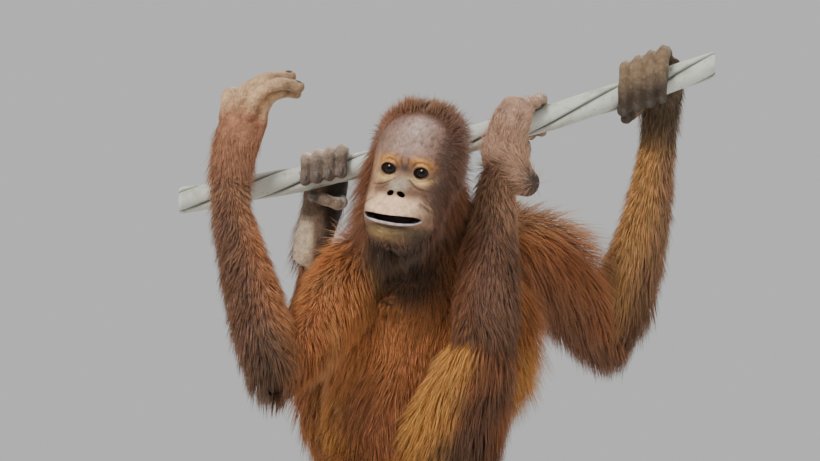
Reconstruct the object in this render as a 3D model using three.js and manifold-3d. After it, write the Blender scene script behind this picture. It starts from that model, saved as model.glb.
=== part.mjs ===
// Young orangutan hanging from a twisted rope, life size, on a plain display stand.
// Millimetres, +Z up. The animal faces -Y, its left side is +X.
// The origin is the middle of the underside of the stand's base.

import * as THREE from "three";
import { mergeVertices } from "three/addons/utils/BufferGeometryUtils.js";
import Module from "manifold-3d";

const wasm = await Module();
wasm.setup();

// Driving dimensions of the whole piece
const GAP = 0.3;
const COAT_IN_CORE = 0.5;
const BASE = { width: 500, depth: 440, height: 18, corner: 40 };
const ROD = { radius: 11, x: -40, y: 28, top: 130 };
const ROPE = { radius: 15, halfSpan: 308, y: 90, z: 543.7, rise: 0.2542, sag: 0.0001443 };
const ROPE_LAY = { pitch: 300, strands: 3, pointsPerStrand: 4, groove: 2.6, rings: 24 };

// Driving dimensions of the head, measured from the middle point between the eyes
const HEAD = { origin: [-47, -106, 512], yaw: -20, roll: 9, skew: 0.16, soft: 20 };
const EYE = { radius: 12, spread: 19.5, back: 6.6, lid: 2.1, openHalfWidth: 8.8, openHalfHeight: 5.8 };
const NOSTRIL = { spread: 6.2, z: -27.3, front: -20.5, halfWidth: 4.4, halfHeight: 2.8, depth: 9 };
const MOUTH = { turn: 0.93, shift: -0.07, z: -56, cornerRise: 3.2, lip: 2.6 };
const MOUTH_SLIT = { open: 8, lopsided: 0.3, corner: 0.35, depth: 13, reach: 8 };
const EAR = { radius: 12.5, tall: 1.25, y: 50, z: -4, side: 46.5, lean: 0.35 };

// Rounded ends of every fleshy form, and the room that a lock keeps from what it passes
const CAP_RING = { scale: 0.72, shift: 0.7 };
const CLEAR = { rope: 5, rod: 8, body: 3 };

// Small vector helpers
const V = (x, y, z) => new THREE.Vector3(x, y, z);
const DOWN = V(0, 0, -1);
const clamp = THREE.MathUtils.clamp;
const lerp = THREE.MathUtils.lerp;
const bell = (x) => Math.exp(-x * x);

// Height of the rope's axis over a place along it
function ropeHeight(x) {
  return ROPE.z + ROPE.rise * x + ROPE.sag * x * x;
}

// Places on a circle round the rope, by the angle from the top towards the camera's side
function aroundRope(x, degrees, distance) {
  const a = THREE.MathUtils.degToRad(degrees);
  return [x, ROPE.y - distance * Math.sin(a), ropeHeight(x) + distance * Math.cos(a)];
}

// A closed solid from rings of points, each ring joined to the next and both ends closed by a pole
function ringSolid(rings, startPole, endPole) {
  const count = rings[0].length;
  const points = rings.flat();
  const first = points.length;
  points.push(startPole, endPole);
  const index = [];
  for (let r = 0; r + 1 < rings.length; r++) {
    for (let i = 0; i < count; i++) {
      const j = (i + 1) % count;
      const a = r * count + i;
      const b = r * count + j;
      index.push(a, b, b + count, a, b + count, a + count);
    }
  }
  const last = (rings.length - 1) * count;
  for (let i = 0; i < count; i++) {
    const j = (i + 1) % count;
    index.push(first, j, i);
    index.push(first + 1, last + i, last + j);
  }
  const geometry = new THREE.BufferGeometry().setFromPoints(points);
  geometry.setIndex(index);
  return geometry;
}

// A geometry as a solid that can be joined and cut, turned the right way out
function solid(geometry) {
  const bare = geometry.clone();
  bare.deleteAttribute("normal");
  bare.deleteAttribute("uv");
  const merged = mergeVertices(bare, 1e-4);
  const triVerts = new Uint32Array(merged.index.array);
  const vertProperties = merged.attributes.position.array;
  const made = new wasm.Manifold(new wasm.Mesh({ numProp: 3, vertProperties, triVerts }));
  if (made.volume() > 0) return made;
  for (let i = 0; i < triVerts.length; i += 3) {
    [triVerts[i + 1], triVerts[i + 2]] = [triVerts[i + 2], triVerts[i + 1]];
  }
  return new wasm.Manifold(new wasm.Mesh({ numProp: 3, vertProperties, triVerts }));
}

// Several solids joined as one
function join(solids) {
  return solids.slice(1).reduce((sum, next) => sum.add(next), solids[0]);
}

// Only the largest closed surface of a solid
function largest(made) {
  return made.decompose().sort((a, b) => b.volume() - a.volume())[0];
}

// A solid as a geometry for a mesh
function geometryOf(made) {
  const mesh = made.getMesh();
  const geometry = new THREE.BufferGeometry();
  geometry.setAttribute("position", new THREE.BufferAttribute(mesh.vertProperties.slice(), 3));
  geometry.setIndex(new THREE.BufferAttribute(mesh.triVerts.slice(), 1));
  geometry.computeVertexNormals();
  return geometry;
}

// A fleshy form: rings of ellipses along a curve through stations [x, y, z, half width, half depth].
// The half width lies along the side vector. The coat is the depth of hair over the skin.
function fleshForm(stations, { side = [1, 0, 0], sides = 9, rings = 5, coat = 0, cap = 0.55 }) {
  const curve = new THREE.CatmullRomCurve3(stations.map((s) => V(s[0], s[1], s[2])));
  const sideVector = V(...side);
  const sizeAt = (t, k) => {
    const place = clamp(t, 0, 1) * (stations.length - 1);
    const i = Math.min(Math.floor(place), stations.length - 2);
    return lerp(stations[i][k], stations[i + 1][k], place - i);
  };
  const frameAt = (t) => {
    const at = clamp(t, 0.001, 0.999);
    const along = curve.getTangent(at);
    const across = sideVector.clone().addScaledVector(along, -sideVector.dot(along)).normalize();
    return { centre: curve.getPoint(clamp(t, 0, 1)), along, across, deep: along.clone().cross(across) };
  };
  const core = coat * COAT_IN_CORE;
  const radii = (t, grow) => [sizeAt(t, 3) + core + grow, sizeAt(t, 4) + core + grow];
  const ringAt = (t, grow, scale, shift) => {
    const { centre, along, across, deep } = frameAt(t);
    const [wide, thick] = radii(t, grow);
    const ring = [];
    for (let i = 0; i < sides; i++) {
      const a = (2 * Math.PI * i) / sides;
      ring.push(
        centre
          .clone()
          .addScaledVector(across, wide * scale * Math.cos(a))
          .addScaledVector(deep, thick * scale * Math.sin(a))
          .addScaledVector(along, shift * Math.min(wide, thick)),
      );
    }
    return ring;
  };
  const build = (grow = 0) => {
    const made = [ringAt(0, grow, CAP_RING.scale, -cap * CAP_RING.shift)];
    for (let r = 0; r <= rings; r++) made.push(ringAt(r / rings, grow, 1, 0));
    made.push(ringAt(1, grow, CAP_RING.scale, cap * CAP_RING.shift));
    const pole = (t, sign) => {
      const { centre, along } = frameAt(t);
      return centre.addScaledVector(along, sign * cap * Math.min(...radii(t, grow)));
    };
    return solid(ringSolid(made, pole(0, -1), pole(1, 1)));
  };
  const surface = (t, a) => {
    const { centre, along, across, deep } = frameAt(t);
    const [wide, thick] = radii(t, 0);
    const point = centre
      .clone()
      .addScaledVector(across, wide * Math.cos(a))
      .addScaledVector(deep, thick * Math.sin(a));
    const normal = across
      .clone()
      .multiplyScalar(Math.cos(a) / wide)
      .addScaledVector(deep, Math.sin(a) / thick)
      .normalize();
    return { point, normal, along };
  };
  const holds = (point, margin) => {
    for (let k = 0; k <= 10; k++) {
      const { centre, across, deep } = frameAt(k / 10);
      const [wide, thick] = radii(k / 10, margin);
      const off = point.clone().sub(centre);
      const flat = Math.hypot(off.dot(across) / wide, off.dot(deep) / thick);
      const far = off.length() / Math.max(wide, thick);
      if (flat < 1 && far < 1.15) return true;
    }
    return false;
  };
  return { build, surface, holds };
}

// Turns a geometry modelled in the head's own directions into the head's place
const headTurn = new THREE.Matrix4()
  .makeTranslation(...HEAD.origin)
  .multiply(new THREE.Matrix4().makeRotationY(THREE.MathUtils.degToRad(HEAD.roll)))
  .multiply(new THREE.Matrix4().makeRotationZ(THREE.MathUtils.degToRad(HEAD.yaw)));

// Outline of the head by height: [height, front, back, half width, squareness, place of the widest point]
const HEAD_LEVELS = [
  [-88, -8, 30, 17, 1, 8],
  [-82, -20, 48, 29, 1, 9],
  [-72, -28, 62, 37, 1, 10],
  [-60, -33, 70, 42, 1, 10],
  [-50, -34, 78, 44, 1, 10],
  [-40, -29, 84, 44, 1, 12],
  [-28, -21, 90, 45, 1, 18],
  [-18, -14, 95, 46, 0.95, 26],
  [-8, -8, 99, 48, 0.85, 34],
  [2, -6, 102, 49, 0.8, 42],
  [14, -7, 104, 50, 0.8, 46],
  [26, -3, 105, 50, 0.85, 50],
  [40, 6, 103, 48, 0.95, 54],
  [52, 17, 97, 43, 1, 57],
  [62, 31, 88, 34, 1, 59],
  [69, 44, 76, 22, 1, 60],
];
const HEAD_POLES = { chin: [0, 10, -91], crown: [0, 60, 73] };

// One size of the head at a height
function headSize(z, k) {
  const levels = HEAD_LEVELS;
  const top = levels.findIndex((level) => level[0] >= z);
  if (top === -1) return levels[levels.length - 1][k];
  if (top === 0) return levels[0][k];
  const low = levels[top - 1];
  const high = levels[top];
  return lerp(low[k], high[k], (z - low[0]) / (high[0] - low[0]));
}

// How far the face stands out from the plain outline at a place on its front
function faceRelief(x, z) {
  const side = Math.abs(x);
  const socket = -6 * bell(Math.hypot((side - EYE.spread) / 12, z / 10));
  const brow = 3.2 * bell((z - 13) / 6) * bell((side - 17) / 16);
  const bridge = 2.5 * bell(side / 6) * bell((z + 8) / 12);
  const nose = 5 * bell(Math.hypot(side / 10, (z + 23) / 6.5));
  const wing = 2.4 * bell(Math.hypot((side - 9.5) / 4.5, (z + 23) / 5));
  const cheek = 2 * bell(Math.hypot((side - 30) / 12, (z + 18) / 10));
  const fold = -2 * bell((z + 33) / 3.5) * bell((side - 18) / 10);
  const lipUnder = -2.5 * bell((z + 66) / 4) * bell(side / 26);
  const chin = 3 * bell(Math.hypot(side / 16, (z + 76) / 8));
  return socket + brow + bridge + nose + wing + cheek + fold + lipUnder + chin;
}

// The back of the head lies a little towards its right: the shift of a place by its depth
function headSkew(y) {
  return -0.5 * HEAD.skew * (Math.hypot(y, HEAD.soft) + y - HEAD.soft);
}

// A point of the head's surface: the angle runs from the middle of the face round the head
function headPoint(z, angle, grow) {
  const front = headSize(z, 1);
  const back = headSize(z, 2);
  const wide = headSize(z, 3);
  const power = headSize(z, 4);
  const widest = headSize(z, 5);
  const sine = Math.sin(angle);
  const cosine = Math.cos(angle);
  const x = (wide + grow) * Math.sign(sine) * Math.abs(sine) ** (cosine > 0 ? power : 0.9);
  const reach = (cosine > 0 ? widest - front : back - widest) + grow;
  const relief = cosine > 0 ? faceRelief(x, z) * cosine ** 0.5 : 0;
  const y = widest - reach * cosine - relief;
  return V(x + headSkew(y), y, z);
}

// The head without hair
function headCore(grow = 0) {
  const columns = 26;
  const crowding = 0.36;
  const rings = [];
  const heights = [-88, -82, -74, -66, -58, -50, -42, -35, -30, -26, -22, -17, -10, -4, 2, 9, 15];
  heights.push(24, 36, 48, 58, 67);
  for (const z of heights) {
    const ring = [];
    for (let i = 0; i < columns; i++) {
      const even = (2 * Math.PI * i) / columns;
      ring.push(headPoint(z, even - crowding * Math.sin(even), grow));
    }
    rings.push(ring);
  }
  const pole = ([x, y, z]) => V(x + headSkew(y), y, z);
  const chin = pole(HEAD_POLES.chin).add(V(0, 0, -grow));
  const crown = pole(HEAD_POLES.crown).add(V(0, 0, grow));
  return solid(ringSolid(rings, chin, crown).applyMatrix4(headTurn));
}

// A ball in the head's directions, with a half size along each of them
function headBall(centre, sizes, columns, rows) {
  const ball = new THREE.SphereGeometry(1, columns, rows);
  ball.rotateX(Math.PI / 2);
  ball.scale(...sizes);
  ball.translate(...centre);
  return solid(ball.applyMatrix4(headTurn));
}

// The centre of an eyeball
function eyeCentre(sign) {
  return [sign * EYE.spread, EYE.back, 0];
}

// An eyeball, or the same ball grown for its socket or its lids
function eyeBall(sign, grow = 0) {
  const radius = EYE.radius + grow;
  return headBall(eyeCentre(sign), [radius, radius, radius], 11, 8);
}

// The almond opening between the lids, as a prism that runs forward from the eye
function lidOpening(sign) {
  const almond = new THREE.Shape();
  const w = EYE.openHalfWidth;
  const h = EYE.openHalfHeight;
  almond.moveTo(-w, -0.5);
  almond.bezierCurveTo(-0.6 * w, h * 1.05, 0.5 * w, h * 1.4, w, 0.6);
  almond.bezierCurveTo(0.6 * w, -h * 1.1, -0.5 * w, -h * 1.2, -w, -0.5);
  const prism = new THREE.ExtrudeGeometry(almond, { depth: 30, bevelEnabled: false, curveSegments: 5 });
  prism.rotateX(Math.PI / 2);
  if (sign < 0) prism.scale(-1, 1, 1);
  prism.translate(sign * EYE.spread, EYE.back - 2, 0);
  return solid(prism.applyMatrix4(headTurn));
}

// A place on the line of the mouth, from one corner to the other as s runs from -1 to 1
function mouthLine(s, inward) {
  const z = MOUTH.z + MOUTH.cornerRise * s * s;
  return headPoint(z, s * MOUTH.turn + MOUTH.shift, -inward);
}

// Half the height of the open mouth at a place along it: it opens wider on its left side
function mouthHalf(s) {
  return 0.5 * MOUTH_SLIT.open * (1 - Math.min(1, s ** 4)) * (1 + MOUTH_SLIT.lopsided * s);
}

// The slit of the mouth, thin at its corners
function mouthSlit() {
  const steps = 12;
  const rings = [];
  for (let i = 0; i <= steps; i++) {
    const s = lerp(-1, 1, i / steps);
    const half = mouthHalf(s) + MOUTH_SLIT.corner;
    const outer = mouthLine(s, -MOUTH_SLIT.reach);
    const inner = mouthLine(s, MOUTH_SLIT.depth);
    rings.push([
      outer.clone().add(V(0, 0, half)),
      inner.clone().add(V(0, 0, 0.25 * half)),
      inner.clone().add(V(0, 0, -0.25 * half)),
      outer.clone().add(V(0, 0, -half)),
    ]);
  }
  const ends = [rings[0], rings[steps]].map((ring) => ring[0].clone().add(ring[2]).multiplyScalar(0.5));
  return solid(ringSolid(rings, ends[0], ends[1]).applyMatrix4(headTurn));
}

// One lip: a tapered roll along the edge of the mouth
function lipRoll(upper) {
  const steps = 12;
  const rings = [];
  const full = upper ? MOUTH.lip * 0.8 : MOUTH.lip;
  for (let i = 0; i <= steps; i++) {
    const s = lerp(-1, 1, i / steps) * 1.02;
    const fade = Math.sqrt(Math.max(0.04, 1 - s ** 6 / 1.15));
    const lift = (mouthHalf(s) + full * 0.5) * (upper ? 1 : -1);
    const centre = mouthLine(s, 1.2).add(V(0, 0, lift));
    const ring = [];
    for (let k = 0; k < 6; k++) {
      const a = (Math.PI * k) / 3;
      ring.push(centre.clone().add(V(0, full * fade * Math.cos(a), full * fade * Math.sin(a))));
    }
    rings.push(ring);
  }
  const ends = [rings[0], rings[steps]].map((ring) => ring[0].clone().add(ring[3]).multiplyScalar(0.5));
  return solid(ringSolid(rings, ends[0], ends[1]).applyMatrix4(headTurn));
}

// The whole head with lids, lips, the slit of the mouth and nostrils
function buildHead(grow = 0) {
  if (grow > 0) return headCore(grow);
  const raised = [headCore(), lipRoll(true), lipRoll(false), eyeBall(-1, EYE.lid), eyeBall(1, EYE.lid)];
  let head = join(raised);
  for (const sign of [-1, 1]) {
    const at = [sign * NOSTRIL.spread, NOSTRIL.front, NOSTRIL.z];
    const sizes = [NOSTRIL.halfWidth, NOSTRIL.depth, NOSTRIL.halfHeight];
    head = head.subtract(eyeBall(sign, GAP)).subtract(lidOpening(sign)).subtract(headBall(at, sizes, 8, 6));
  }
  return head.subtract(mouthSlit());
}

// The cup of one ear: a shallow bowl with a rolled rim
function earCup(sign, grow = 0) {
  const r = EAR.radius;
  const profile = [
    [0, 1],
    [0.55 * r, 0.5],
    [0.82 * r, 3.5],
    [r + grow, 4.6 + grow],
    [1.08 * r + grow, 2],
    [0.8 * r + grow, -5],
    [0.45 * r + grow, -9 - grow],
    [0, -10 - grow],
  ].map(([x, y]) => new THREE.Vector2(x, y));
  const cup = new THREE.LatheGeometry(profile.reverse(), 12);
  cup.scale(1, 1, EAR.tall);
  cup.rotateZ(-sign * (0.5 * Math.PI + EAR.lean));
  cup.translate(sign * EAR.side + headSkew(EAR.y), EAR.y, EAR.z);
  return solid(cup.applyMatrix4(headTurn));
}

// The rope: strands laid round each other, cut square to X at both ends
function buildRope(grow = 0) {
  const count = ROPE_LAY.strands * ROPE_LAY.pointsPerStrand;
  const rings = [];
  for (let r = 0; r <= ROPE_LAY.rings; r++) {
    const x = lerp(-ROPE.halfSpan, ROPE.halfSpan, r / ROPE_LAY.rings);
    const slope = ROPE.rise + 2 * ROPE.sag * x;
    const stretch = Math.hypot(1, slope);
    const ring = [];
    for (let i = 0; i < count; i++) {
      const a = 2 * Math.PI * (i / count - x / ROPE_LAY.pitch);
      const radius = ROPE.radius + grow - (i % ROPE_LAY.pointsPerStrand === 0 ? ROPE_LAY.groove : 0);
      ring.push(V(x, ROPE.y + radius * Math.cos(a), ropeHeight(x) + radius * Math.sin(a) * stretch));
    }
    rings.push(ring);
  }
  const end = (x) => V(x, ROPE.y, ropeHeight(x));
  return solid(ringSolid(rings, end(-ROPE.halfSpan), end(ROPE.halfSpan)));
}

// The stand's flat base with round corners
function buildBase() {
  const { width, depth, height, corner } = BASE;
  const outline = new THREE.Shape();
  const corners = [
    [width / 2 - corner, depth / 2 - corner, 0],
    [corner - width / 2, depth / 2 - corner, 1],
    [corner - width / 2, corner - depth / 2, 2],
    [width / 2 - corner, corner - depth / 2, 3],
  ];
  for (const [x, y, turn] of corners) {
    outline.absarc(x, y, corner, (turn * Math.PI) / 2, ((turn + 1) * Math.PI) / 2);
  }
  return solid(new THREE.ExtrudeGeometry(outline, { depth: height, bevelEnabled: false, curveSegments: 4 }));
}

// The stand's rod, from the base into the underside of the pelvis
function buildRod() {
  const length = ROD.top - BASE.height - GAP;
  const rod = new THREE.CylinderGeometry(ROD.radius, ROD.radius, length, 16);
  rod.rotateX(Math.PI / 2);
  rod.translate(ROD.x, ROD.y, BASE.height + GAP + length / 2);
  return solid(rod);
}

// Trunk, neck and limbs: stations along each form, with the depth of its coat
const FORMS = {
  torso: fleshForm(
    [
      [-49, 28, 190, 83, 64],
      [-47, 31, 230, 89, 68],
      [-34, 37, 275, 101, 70],
      [-23, 41, 320, 108, 66],
      [-14, 43, 362, 105, 62],
      [-18, 41, 400, 86, 53],
      [-26, 37, 428, 56, 42],
    ],
    { sides: 13, rings: 6, coat: 24, cap: 0.3 },
  ),
  pelvis: fleshForm(
    [
      [-38, 27, 98, 58, 50],
      [-40, 26, 125, 78, 64],
      [-46, 27, 160, 82, 66],
      [-49, 28, 190, 83, 64],
    ],
    { sides: 14, rings: 3, coat: 22, cap: 0.3 },
  ),
  neck: fleshForm(
    [
      [-32, 37, 428, 58, 42],
      [-34, 25, 452, 57, 42],
      [-34, 8, 475, 50, 42],
      [-32, -13, 500, 41, 44],
    ],
    { sides: 10, rings: 2, coat: 12, cap: 0.3 },
  ),
  upper_arm_r: fleshForm(
    [
      [-90, 46, 400, 42, 42],
      [-119, 5, 372, 38, 39],
      [-150, -58, 330, 31, 32],
      [-180, -114, 298, 27, 28],
      [-192, -136, 284, 23, 24],
    ],
    { coat: 22 },
  ),
  forearm_r: fleshForm(
    [
      [-194, -136, 290, 26, 26],
      [-208, -104, 336, 29, 29],
      [-222, -66, 382, 27, 26],
      [-237, -24, 434, 22, 20],
      [-246, 10, 472, 20, 16],
      [-247, 26, 492, 20, 14],
    ],
    { coat: 18 },
  ),
  upper_arm_l: fleshForm(
    [
      [44, 44, 424, 44, 44],
      [86, 68, 420, 44, 46],
      [126, 98, 391, 38, 42],
      [160, 134, 342, 31, 31],
      [182, 152, 318, 25, 25],
    ],
    { coat: 26 },
  ),
  forearm_l: fleshForm(
    [
      [186, 154, 326, 26, 26],
      [204, 152, 362, 30, 29],
      [218, 147, 408, 28, 27],
      [230, 138, 456, 24, 22],
      [242, 127, 530, 19, 17],
      [246, 122, 568, 19, 14],
    ],
    { coat: 16 },
  ),
  thigh_r: fleshForm(
    [
      [-62, 46, 142, 54, 52],
      [-88, 74, 178, 51, 48],
      [-116, 100, 218, 45, 43],
      [-136, 118, 254, 36, 35],
      [-142, 124, 272, 29, 29],
    ],
    { coat: 22 },
  ),
  shank_r: fleshForm(
    [
      [-144, 126, 272, 30, 30],
      [-150, 132, 305, 33, 33],
      [-152, 138, 345, 29, 30],
      [-149, 141, 385, 23, 24],
      [-145, 140, 418, 20, 20],
    ],
    { coat: 16 },
  ),
  thigh_l: fleshForm(
    [
      [-14, 14, 160, 57, 54],
      [0, -20, 202, 54, 51],
      [18, -50, 248, 47, 45],
      [34, -72, 294, 38, 37],
      [41, -82, 318, 31, 31],
    ],
    { coat: 22 },
  ),
  shank_l: fleshForm(
    [
      [41, -82, 326, 32, 32],
      [44, -62, 362, 34, 34],
      [47, -36, 402, 31, 32],
      [50, -10, 440, 27, 27],
      [54, 10, 478, 23, 22],
      [61, 27, 508, 21, 19],
    ],
    { coat: 16 },
  ),
};

// Palms and soles: stations along each, with almost no coat
const PALMS = {
  hand_r: fleshForm(
    [
      [-247, 31, 496, 20, 14],
      [-246, 37, 512, 24, 15],
      [-243, 42, 534, 26, 14],
      [-237, 44, 556, 27, 13],
      [-231, 43, 574, 27, 11],
    ],
    { rings: 4, coat: 2, cap: 0.4 },
  ),
  hand_l: fleshForm(
    [
      [246, 121, 572, 19, 13],
      [246, 123, 588, 22, 14],
      [246, 126, 606, 26, 14],
      [245, 125, 624, 27, 13],
      [243, 120, 638, 26, 11],
    ],
    { rings: 4, coat: 2, cap: 0.4 },
  ),
  foot_r: fleshForm(
    [
      [-163, 121, 414, 16, 15],
      [-156, 126, 432, 21, 17],
      [-147, 130, 458, 22, 16],
      [-141, 130, 486, 25, 14],
      [-140, 126, 510, 27, 13],
      [-140, 120, 526, 27, 11],
    ],
    { coat: 2, cap: 0.4 },
  ),
  foot_l: fleshForm(
    [
      [92, 10, 498, 15, 17],
      [78, 22, 508, 22, 20],
      [66, 38, 528, 27, 19],
      [68, 54, 552, 25, 15],
      [76, 62, 576, 23, 13],
      [83, 70, 590, 21, 11],
    ],
    { side: [0.92, -0.3, 0], coat: 3, cap: 0.4 },
  ),
};

// The closest that the skin of a finger or toe comes to the rope's axis
const GRIP = ROPE.radius + GAP + 0.2;

// A finger of the left hand, from its knuckle behind the rope over the top and down the front
function leftFinger(x, i) {
  return [
    [x + 14 - 2 * i, ROPE.y + 27, ropeHeight(x) + 26 + 2 * i],
    aroundRope(x + 3, 4, GRIP + 13 + 1.5 * i),
    aroundRope(x, 78, GRIP + 9.5),
    aroundRope(x - 1, 142, GRIP + 9),
  ];
}

// A toe of the right foot, from behind the rope over its top
function rightToe(x) {
  return [
    [x + 1, ROPE.y + 30, ropeHeight(x) + 14],
    aroundRope(x, -30, GRIP + 10),
    aroundRope(x, 38, GRIP + 10),
    aroundRope(x - 1, 102, GRIP + 8.5),
  ];
}

// A toe of the left foot, from in front of the rope over its top and down its back
function leftToe(x) {
  return [
    [x - 4, ROPE.y - 23, ropeHeight(x) + 20],
    aroundRope(x + 3, 14, GRIP + 9.5),
    aroundRope(x + 5, -60, GRIP + 9),
    aroundRope(x + 4, -128, GRIP + 8.5),
  ];
}

// Fingers and toes: [x, y, z] places from the knuckle to the tip, with the half thickness
const DIGITS = {
  hand_r: {
    names: ["thumb", "index", "middle", "ring", "little"],
    radii: [8, 8.5, 8.8, 8.6, 7.6],
    paths: [
      [[-262, 46, 520], [-264, 62, 538], [-258, 72, 556]],
      [[-253, 42, 574], [-250, 42, 598], [-244, 60, 602], [-240, 70, 586]],
      [[-240, 40, 578], [-231, 33, 604], [-206, 38, 618], [-179, 50, 621]],
      [[-226, 36, 576], [-216, 26, 600], [-193, 27, 612], [-169, 36, 609]],
      [[-213, 42, 567], [-207, 41, 590], [-191, 44, 602], [-172, 52, 602]],
    ],
  },
  hand_l: {
    names: ["thumb", "index", "middle", "ring", "little"],
    radii: [8, 8.2, 8.4, 8.2, 7.6],
    paths: [
      [[224, 118, 588], [212, 104, 579], [206, 84, 574]],
      ...[203, 218, 233, 247].map((x, i) => leftFinger(x, i + 1)),
    ],
  },
  foot_r: {
    names: ["hallux", "toe2", "toe3", "toe4", "toe5"],
    radii: [8, 7.8, 8, 8, 7.2],
    paths: [
      [[-122, 118, 478], [-126, 98, 476], [-142, 86, 481], [-154, 84, 484]],
      ...[-120, -134, -148, -162].map(rightToe),
    ],
  },
  foot_l: {
    names: ["hallux", "toe2", "toe3", "toe4", "toe5"],
    radii: [8, 7.6, 8, 8, 7.4],
    paths: [
      [[84, 50, 524], [88, 66, 531], [90, 84, 538], [90, 102, 543]],
      ...[105, 92, 79, 66].map(leftToe),
    ],
  },
};

// An even draw between two values from a seed that steps on at each call
function seededDraw(seed) {
  let state = seed;
  return (low, high) => {
    state = (state * 1664525 + 1013904223) % 4294967296;
    return lerp(low, high, state / 4294967296);
  };
}

// The centre of a lock at a share of its length: it heads along its lie and bends towards the ground
function lockCentre(lock, t) {
  return lock.start
    .clone()
    .addScaledVector(lock.heading, lock.length * t)
    .addScaledVector(lock.bend, lock.length * t * t);
}

// One lock of hair: a flat blade with a low ridge, widest near its middle and tapered to its tip
function lockSolid(lock, grow) {
  const rings = [0, 0.4, 0.74].map((t) => {
    const centre = lockCentre(lock, t);
    const half = 0.5 * lock.width * (0.74 + 0.75 * t - 1.4 * t * t) + grow;
    const ridge = lock.thick * (1 - 0.6 * t) + grow;
    const under = -0.35 * ridge;
    return [
      centre.clone().addScaledVector(lock.across, half).addScaledVector(lock.out, under),
      centre.clone().addScaledVector(lock.out, ridge),
      centre.clone().addScaledVector(lock.across, -half).addScaledVector(lock.out, under),
    ];
  });
  return solid(ringSolid(rings, lockCentre(lock, -0.02), lockCentre(lock, 1 + grow / lock.length)));
}

// Everything that a lock has to stay clear of, by the name of its node
function blocked(point, owner) {
  const reach = Math.hypot(point.y - ROPE.y, point.z - ropeHeight(point.x));
  if (reach < ROPE.radius + CLEAR.rope) return true;
  const rod = Math.hypot(point.x - ROD.x, point.y - ROD.y);
  if (rod < ROD.radius + CLEAR.rod && point.z < ROD.top) return true;
  const bodies = { ...FORMS, ...PALMS };
  return Object.keys(bodies).some((name) => name !== owner && bodies[name].holds(point, CLEAR.body));
}

// A lock from a root, with its lie and its sizes, shortened until it is clear of the rest of the body
function makeLock(root, normal, lie, size, draw, owner) {
  const flat = lie.clone().addScaledVector(normal, -lie.dot(normal)).normalize();
  const heading = flat.clone().addScaledVector(normal, size.rise * draw(0.7, 1.3)).normalize();
  const across = heading.clone().cross(normal).normalize();
  const out = across.clone().cross(heading).normalize();
  const bend = DOWN.clone().multiplyScalar(size.droop).addScaledVector(across, draw(-0.12, 0.12));
  const start = root.clone().addScaledVector(normal, -size.sink);
  const width = size.width * draw(0.85, 1.2);
  const length = size.length * draw(0.8, 1.2);
  const lock = { start, heading, across, out, bend, width, length, thick: size.thick };
  for (let tries = 0; tries < 3; tries++) {
    const clear = [0.45, 0.75, 1].every((t) => !blocked(lockCentre(lock, t), owner));
    if (clear) return lock;
    lock.length *= 0.72;
  }
  return null;
}

// Coat of each form: how many locks, where their roots lie, which way they run and their sizes.
// along is +1 where the hair runs with the form's stations and -1 where it runs against them.
const LOCK = { sink: 6, thick: 5, rise: 0.3, droop: 0.14 };
const COATS = {
  torso: { count: 31, from: 0.08, to: 0.86, along: -1, down: 0.6, length: 74, width: 42 },
  pelvis: { count: 14, from: 0.1, to: 0.9, along: -1, down: 0.4, length: 54, width: 38 },
  neck: { count: 8, from: 0.2, to: 0.75, along: -1, down: 0.6, length: 52, width: 36 },
  upper_arm_r: { count: 17, from: 0.12, to: 0.97, along: 1, down: 0.9, length: 60, width: 34 },
  upper_arm_l: { count: 18, from: 0.12, to: 0.97, along: 1, down: 0.9, length: 60, width: 36 },
  forearm_r: { count: 16, from: 0.03, to: 0.85, along: -1, down: 0.4, length: 62, width: 29 },
  forearm_l: { count: 16, from: 0.03, to: 0.85, along: -1, down: 0.4, length: 60, width: 28 },
  thigh_r: { count: 14, from: 0.15, to: 0.92, along: -1, down: 0.5, length: 66, width: 36 },
  thigh_l: { count: 16, from: 0.1, to: 0.92, along: -1, down: 0.5, length: 72, width: 40 },
  shank_r: { count: 11, from: 0.1, to: 0.9, along: -1, down: 0.4, length: 54, width: 30 },
  shank_l: { count: 12, from: 0.1, to: 0.9, along: -1, down: 0.4, length: 56, width: 31 },
};

// The locks of one form, spread evenly round and along it
function locksOf(name, seed) {
  const coat = COATS[name];
  const draw = seededDraw(seed);
  const form = FORMS[name];
  const golden = 0.6180339887;
  const locks = [];
  for (let i = 0; i < coat.count; i++) {
    const t = lerp(coat.from, coat.to, (i + draw(0.2, 0.8)) / coat.count);
    const angle = 2 * Math.PI * ((i * golden) % 1) + draw(-0.2, 0.2);
    const { point, normal, along } = form.surface(t, angle);
    const lie = along.clone().multiplyScalar(coat.along).addScaledVector(DOWN, coat.down);
    const lock = makeLock(point, normal, lie, { ...LOCK, ...coat }, draw, name);
    if (lock) locks.push(lock);
  }
  return locks;
}

// A place on the head with its outward direction, in the part's own frame
function headSurface(z, angle) {
  const point = headPoint(z, angle, 0);
  const up = headPoint(z + 2, angle, 0).sub(headPoint(z - 2, angle, 0));
  const round = headPoint(z, angle + 0.05, 0).sub(headPoint(z, angle - 0.05, 0));
  const normal = round.cross(up).normalize();
  const turned = (v) => v.clone().transformDirection(headTurn);
  return { point: point.clone().applyMatrix4(headTurn), normal: turned(normal), up: turned(up.normalize()) };
}

// Rows of hair on the head: height, first and last angle from the middle of the face, locks a side
const HEAD_LOCK = { sink: 5, thick: 3.2, droop: 0.22 };
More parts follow.
